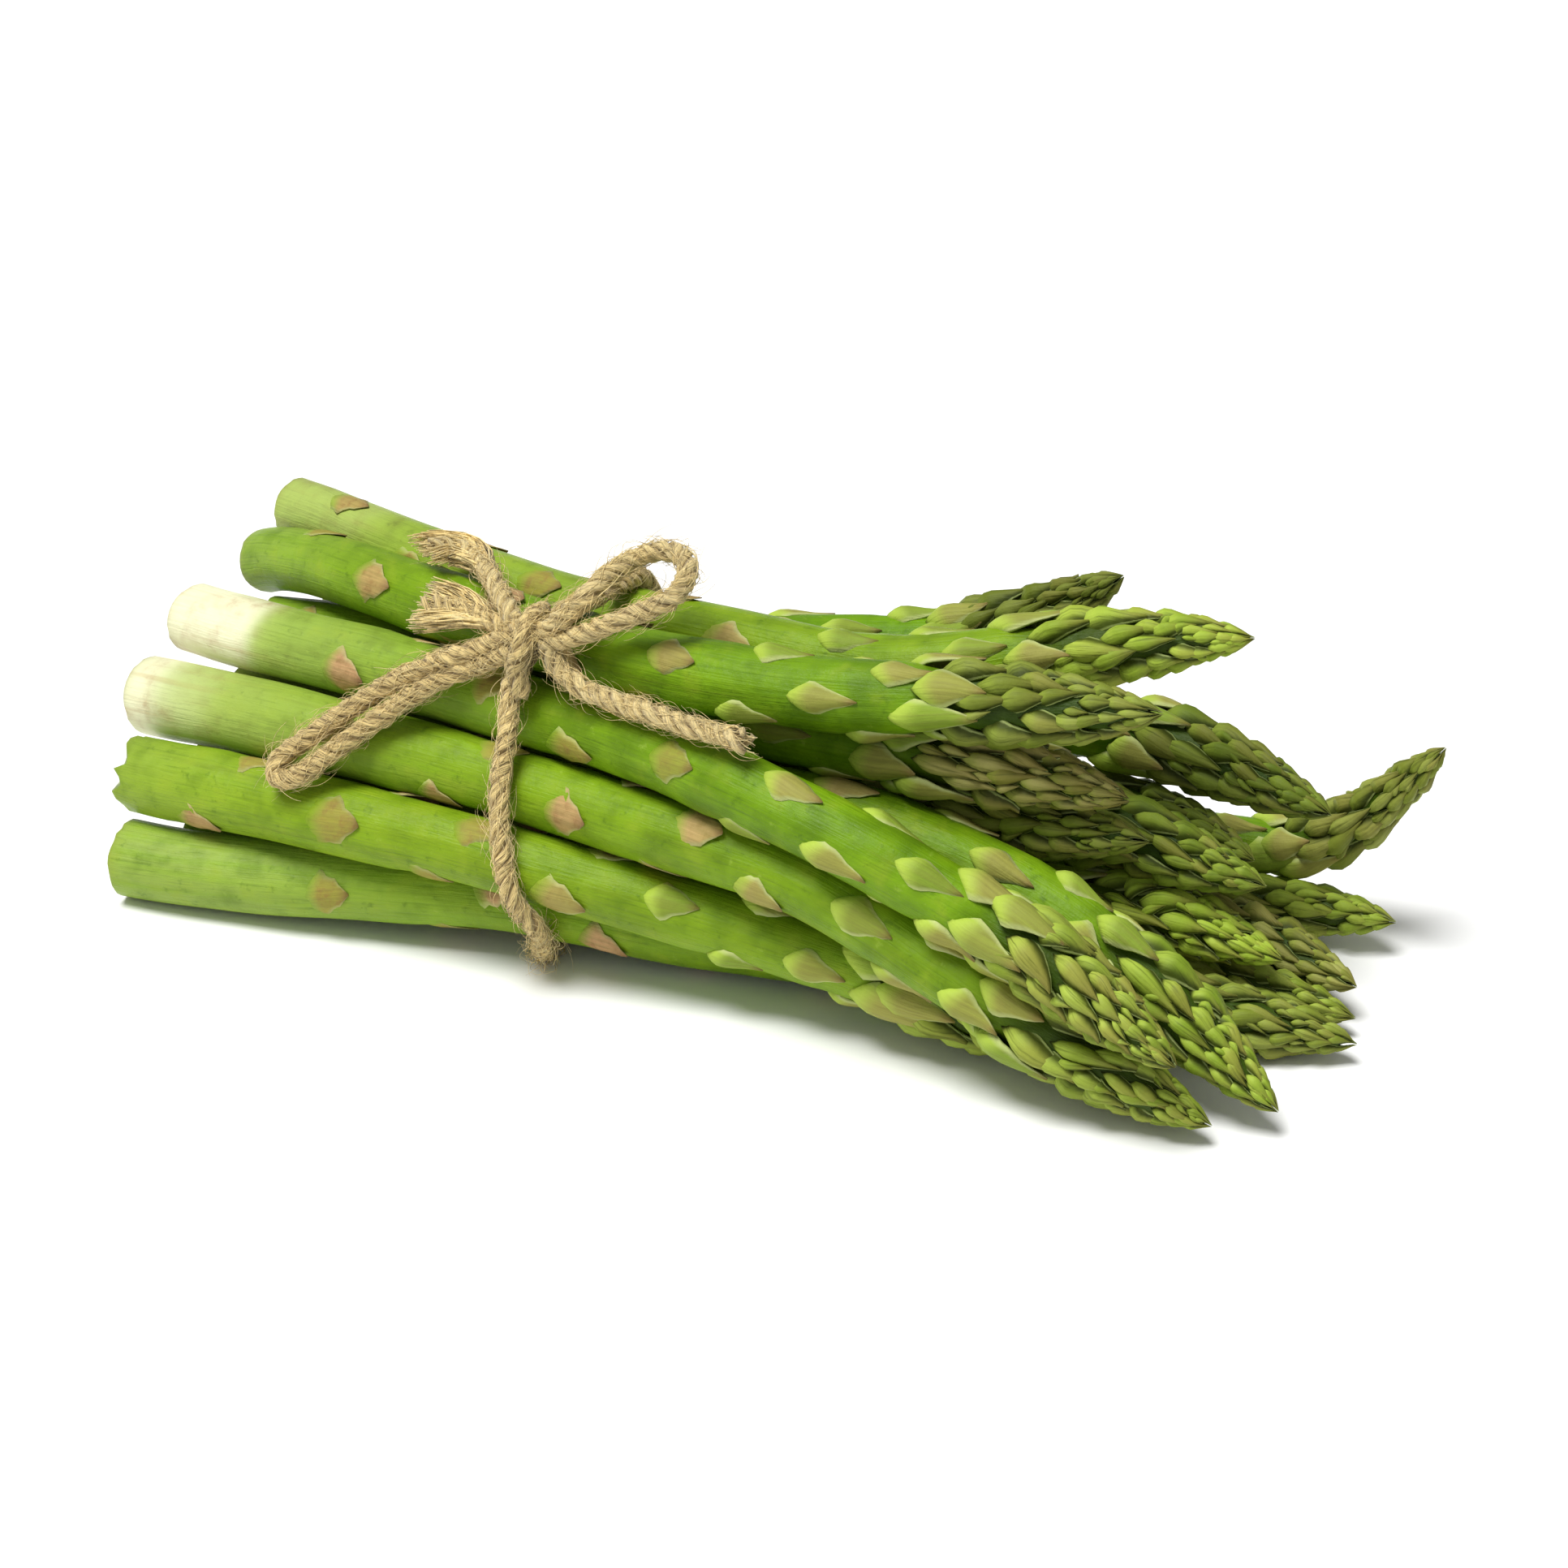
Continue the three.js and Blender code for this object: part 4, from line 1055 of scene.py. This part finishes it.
def add_wisps(build, line, draws, per_mm):
    """Fibres that lie loosely on the twine and cross its strands."""
    along, first, second = frames(line)
    for _ in range(int(len(line) * PLY_STEP * per_mm)):
        span = draws.randrange(6, 16)
        if len(line) < span + 4:
            continue
        k = draws.randrange(1, len(line) - span - 1)
        steps = np.linspace(0, 1, span)
        turn = draws.uniform(0, 6.3) + steps * draws.uniform(-2.2, 2.2)
        off = TWINE_RADIUS * draws.uniform(0.9, 1.0) + draws.uniform(0.05, 0.5) * np.sin(np.pi * steps) ** 2
        out = first[k:k + span] * np.cos(turn)[:, None] + second[k:k + span] * np.sin(turn)[:, None]
        add_fibre(build, line[k:k + span] + out * off[:, None], draws.uniform(*WISP_RADII), draws.random())


def add_brush(build, line, draws, count, reach, spread):
    """A frayed end: strands of fibre that spread flat and stop at uneven lengths."""
    along, first, second = frames(line)
    last = len(line) - 1
    for _ in range(count):
        start = max(last - int(draws.uniform(0.5, 1.0) * reach / PLY_STEP), 1)
        steps = np.linspace(0, 1, 9)
        near = np.round(start + steps * (last - start)).astype(int)
        fan, up = draws.uniform(-1, 1), draws.uniform(-0.7, 1.0)
        side = fan * (1.1 + spread * steps**0.8) + draws.uniform(0.1, 0.5) * np.sin(steps * 6 + fan * 5)
        points = line[near] + along[near] * (draws.uniform(-2.5, 1.8) * steps**3)[:, None]
        points = points + second[near] * side[:, None] + first[near] * (up * (1.2 + 0.5 * steps))[:, None]
        add_fibre(build, points, draws.uniform(*STRAND_RADII), draws.random())


def loose_fibres():
    """Hairs and crossing fibres on the band, on the bow and at the frayed ends."""
    draws = random.Random(FIBRE_SEED)
    band, bow, ends = Build(), Build(), Build()
    low_front = LINES["band"][(LINES["band"][:, 2] < 12) & (LINES["band"][:, 1] < 0)]
    add_fuzz(band, low_front, draws, LOW_FRONT_HAIRS, LONGEST_LOW_HAIR)
    for part, line in LINES.items():
        build = band if part == "band" else bow
        add_fuzz(build, line, draws, BAND_HAIRS if part == "band" else BOW_HAIRS, LONGEST_HAIR)
        add_wisps(build, line, draws, WISPS)
    for part, count, reach, spread in BRUSHES:
        add_brush(ends, LINES[part], draws, count, reach, spread)
    for build, what in ((band, "band_fibres"), (bow, "bow_fibres"), (ends, "frayed_ends")):
        build.piece(f"twine_{what}", JUTE, ["twine"], "jute")


# The pieces

KNOT_FOOT = np.array(on_hull(*KNOT_PLACE, 0.0))
KNOT_UP = unit(on_hull(*KNOT_PLACE, 5.0) - KNOT_FOOT)
LINES = {
    "band": strand_line(BAND), "cross": strand_line(KNOT_CROSS), "wrap": strand_line(KNOT_WRAP),
    "right_loop": strand_line(RIGHT_LOOP), "left_loop": strand_line(LEFT_LOOP),
    "right_tail": strand_line(RIGHT_TAIL), "upper_tail": strand_line(UPPER_TAIL),
    "short_tail": strand_line(SHORT_TAIL),
}
TWINE_POINTS = np.concatenate(list(LINES.values()))
for way in WAYS:
    way.radii = way.girth(way.mark)
for index in range(len(SPEARS)):
    build_spear(index)

# The knot's ends and the band in one piece, and each free part of the bow as a piece of its own
# This piece takes 0.2 of the free cords' light strands: painted shade on the band and knot, where they lie
# on the stems
twine_piece("twine_band_and_knot", [("band", 0), ("cross", 0), ("wrap", 0), ("short_tail", 10)], 1, 0.2)
CORDS = [
    ("twine_right_loop", "right_loop", "object", 0), ("twine_left_loop", "left_loop", "object", 0),
    ("twine_right_tail", "right_tail", "bare", 3), ("twine_upper_tail", "upper_tail", "bare", 12),
]
for name, part, far_end, fray in CORDS:
    piece = twine_piece(name, [(part, fray)], len(name), 1.0)
    route = (LINES[part] + ORIGIN) * MM
    float(along_line(route)[-1])

# Frayed ends: how many strands, how far back they start in millimetres and how wide they spread
BRUSHES = [
    ("upper_tail", 320, 18, 4.5), ("short_tail", 340, 17, 4.6), ("right_tail", 50, 7, 0.9),
]
loose_fibres()


# Table, light and camera

TABLE_SIZE = 6.0
TABLE_BELOW = 0.0002
SKY_LIGHT = 0.26
CAMERA_AZIMUTH = math.radians(32.0)
CAMERA_ELEVATION = math.radians(28.0)
CAMERA_PLACE = np.array([386.307, -554.718, 383.349])


def table():
    """A flat white table, wide enough to fill the view."""
    bpy.ops.mesh.primitive_plane_add(size=TABLE_SIZE, location=(0, 0, -TABLE_BELOW))
    floor = bpy.context.object
    floor.name = "white_table"
    m = new_material("matt white paper")
    shader = node(m, "ShaderNodeBsdfPrincipled", {"Base Color": linear("#fbfbfa"), "Roughness": 0.9})
    node(m, "ShaderNodeOutputMaterial", {"Surface": shader.outputs["BSDF"]})
    floor.data.materials.append(m)


def sun(name, toward, softness, power):
    """A far, broad light that comes from the given direction."""
    data = bpy.data.lights.new(name, "SUN")
    data.angle = math.radians(softness)
    data.energy = power
    lamp = bpy.data.objects.new(name, data)
    back = Vector(toward).normalized()
    lamp.rotation_euler = back.to_track_quat("Z", "Y").to_euler()
    bpy.context.scene.collection.objects.link(lamp)


def camera():
    """The view of the photo: where it was taken from and how it was turned."""
    data = bpy.data.cameras.new("view of the photo")
    data.lens = 100.0
    data.sensor_width = 36.0
    data.sensor_fit = "HORIZONTAL"
    data.clip_start = 0.01
    one = bpy.data.objects.new("view of the photo", data)
    ca, sa = math.cos(CAMERA_AZIMUTH), math.sin(CAMERA_AZIMUTH)
    ce, se = math.cos(CAMERA_ELEVATION), math.sin(CAMERA_ELEVATION)
    back = np.array([sa * ce, -ca * ce, se])
    right = np.array([ca, sa, 0.0])
    up = np.cross(back, right)
    place = (CAMERA_PLACE + ORIGIN) * MM
    one.location = place.tolist()
    turn = Matrix([[right[k], up[k], back[k]] for k in range(3)])
    one.rotation_euler = turn.to_euler()
    bpy.context.scene.collection.objects.link(one)
    bpy.context.scene.camera = one


table()
camera()
world = bpy.data.worlds.new("white studio")
world.use_nodes = True
world.node_tree.nodes["Background"].inputs["Color"].default_value = (1, 1, 1, 1)
world.node_tree.nodes["Background"].inputs["Strength"].default_value = SKY_LIGHT
bpy.context.scene.world = world
sun("soft box above", (-0.15, -0.3, 1.0), 28.0, 3.35)
sun("fill from the front", (0.3, -1.0, 0.8), 60.0, 0.2)
bpy.context.scene.view_settings.view_transform = "Standard"
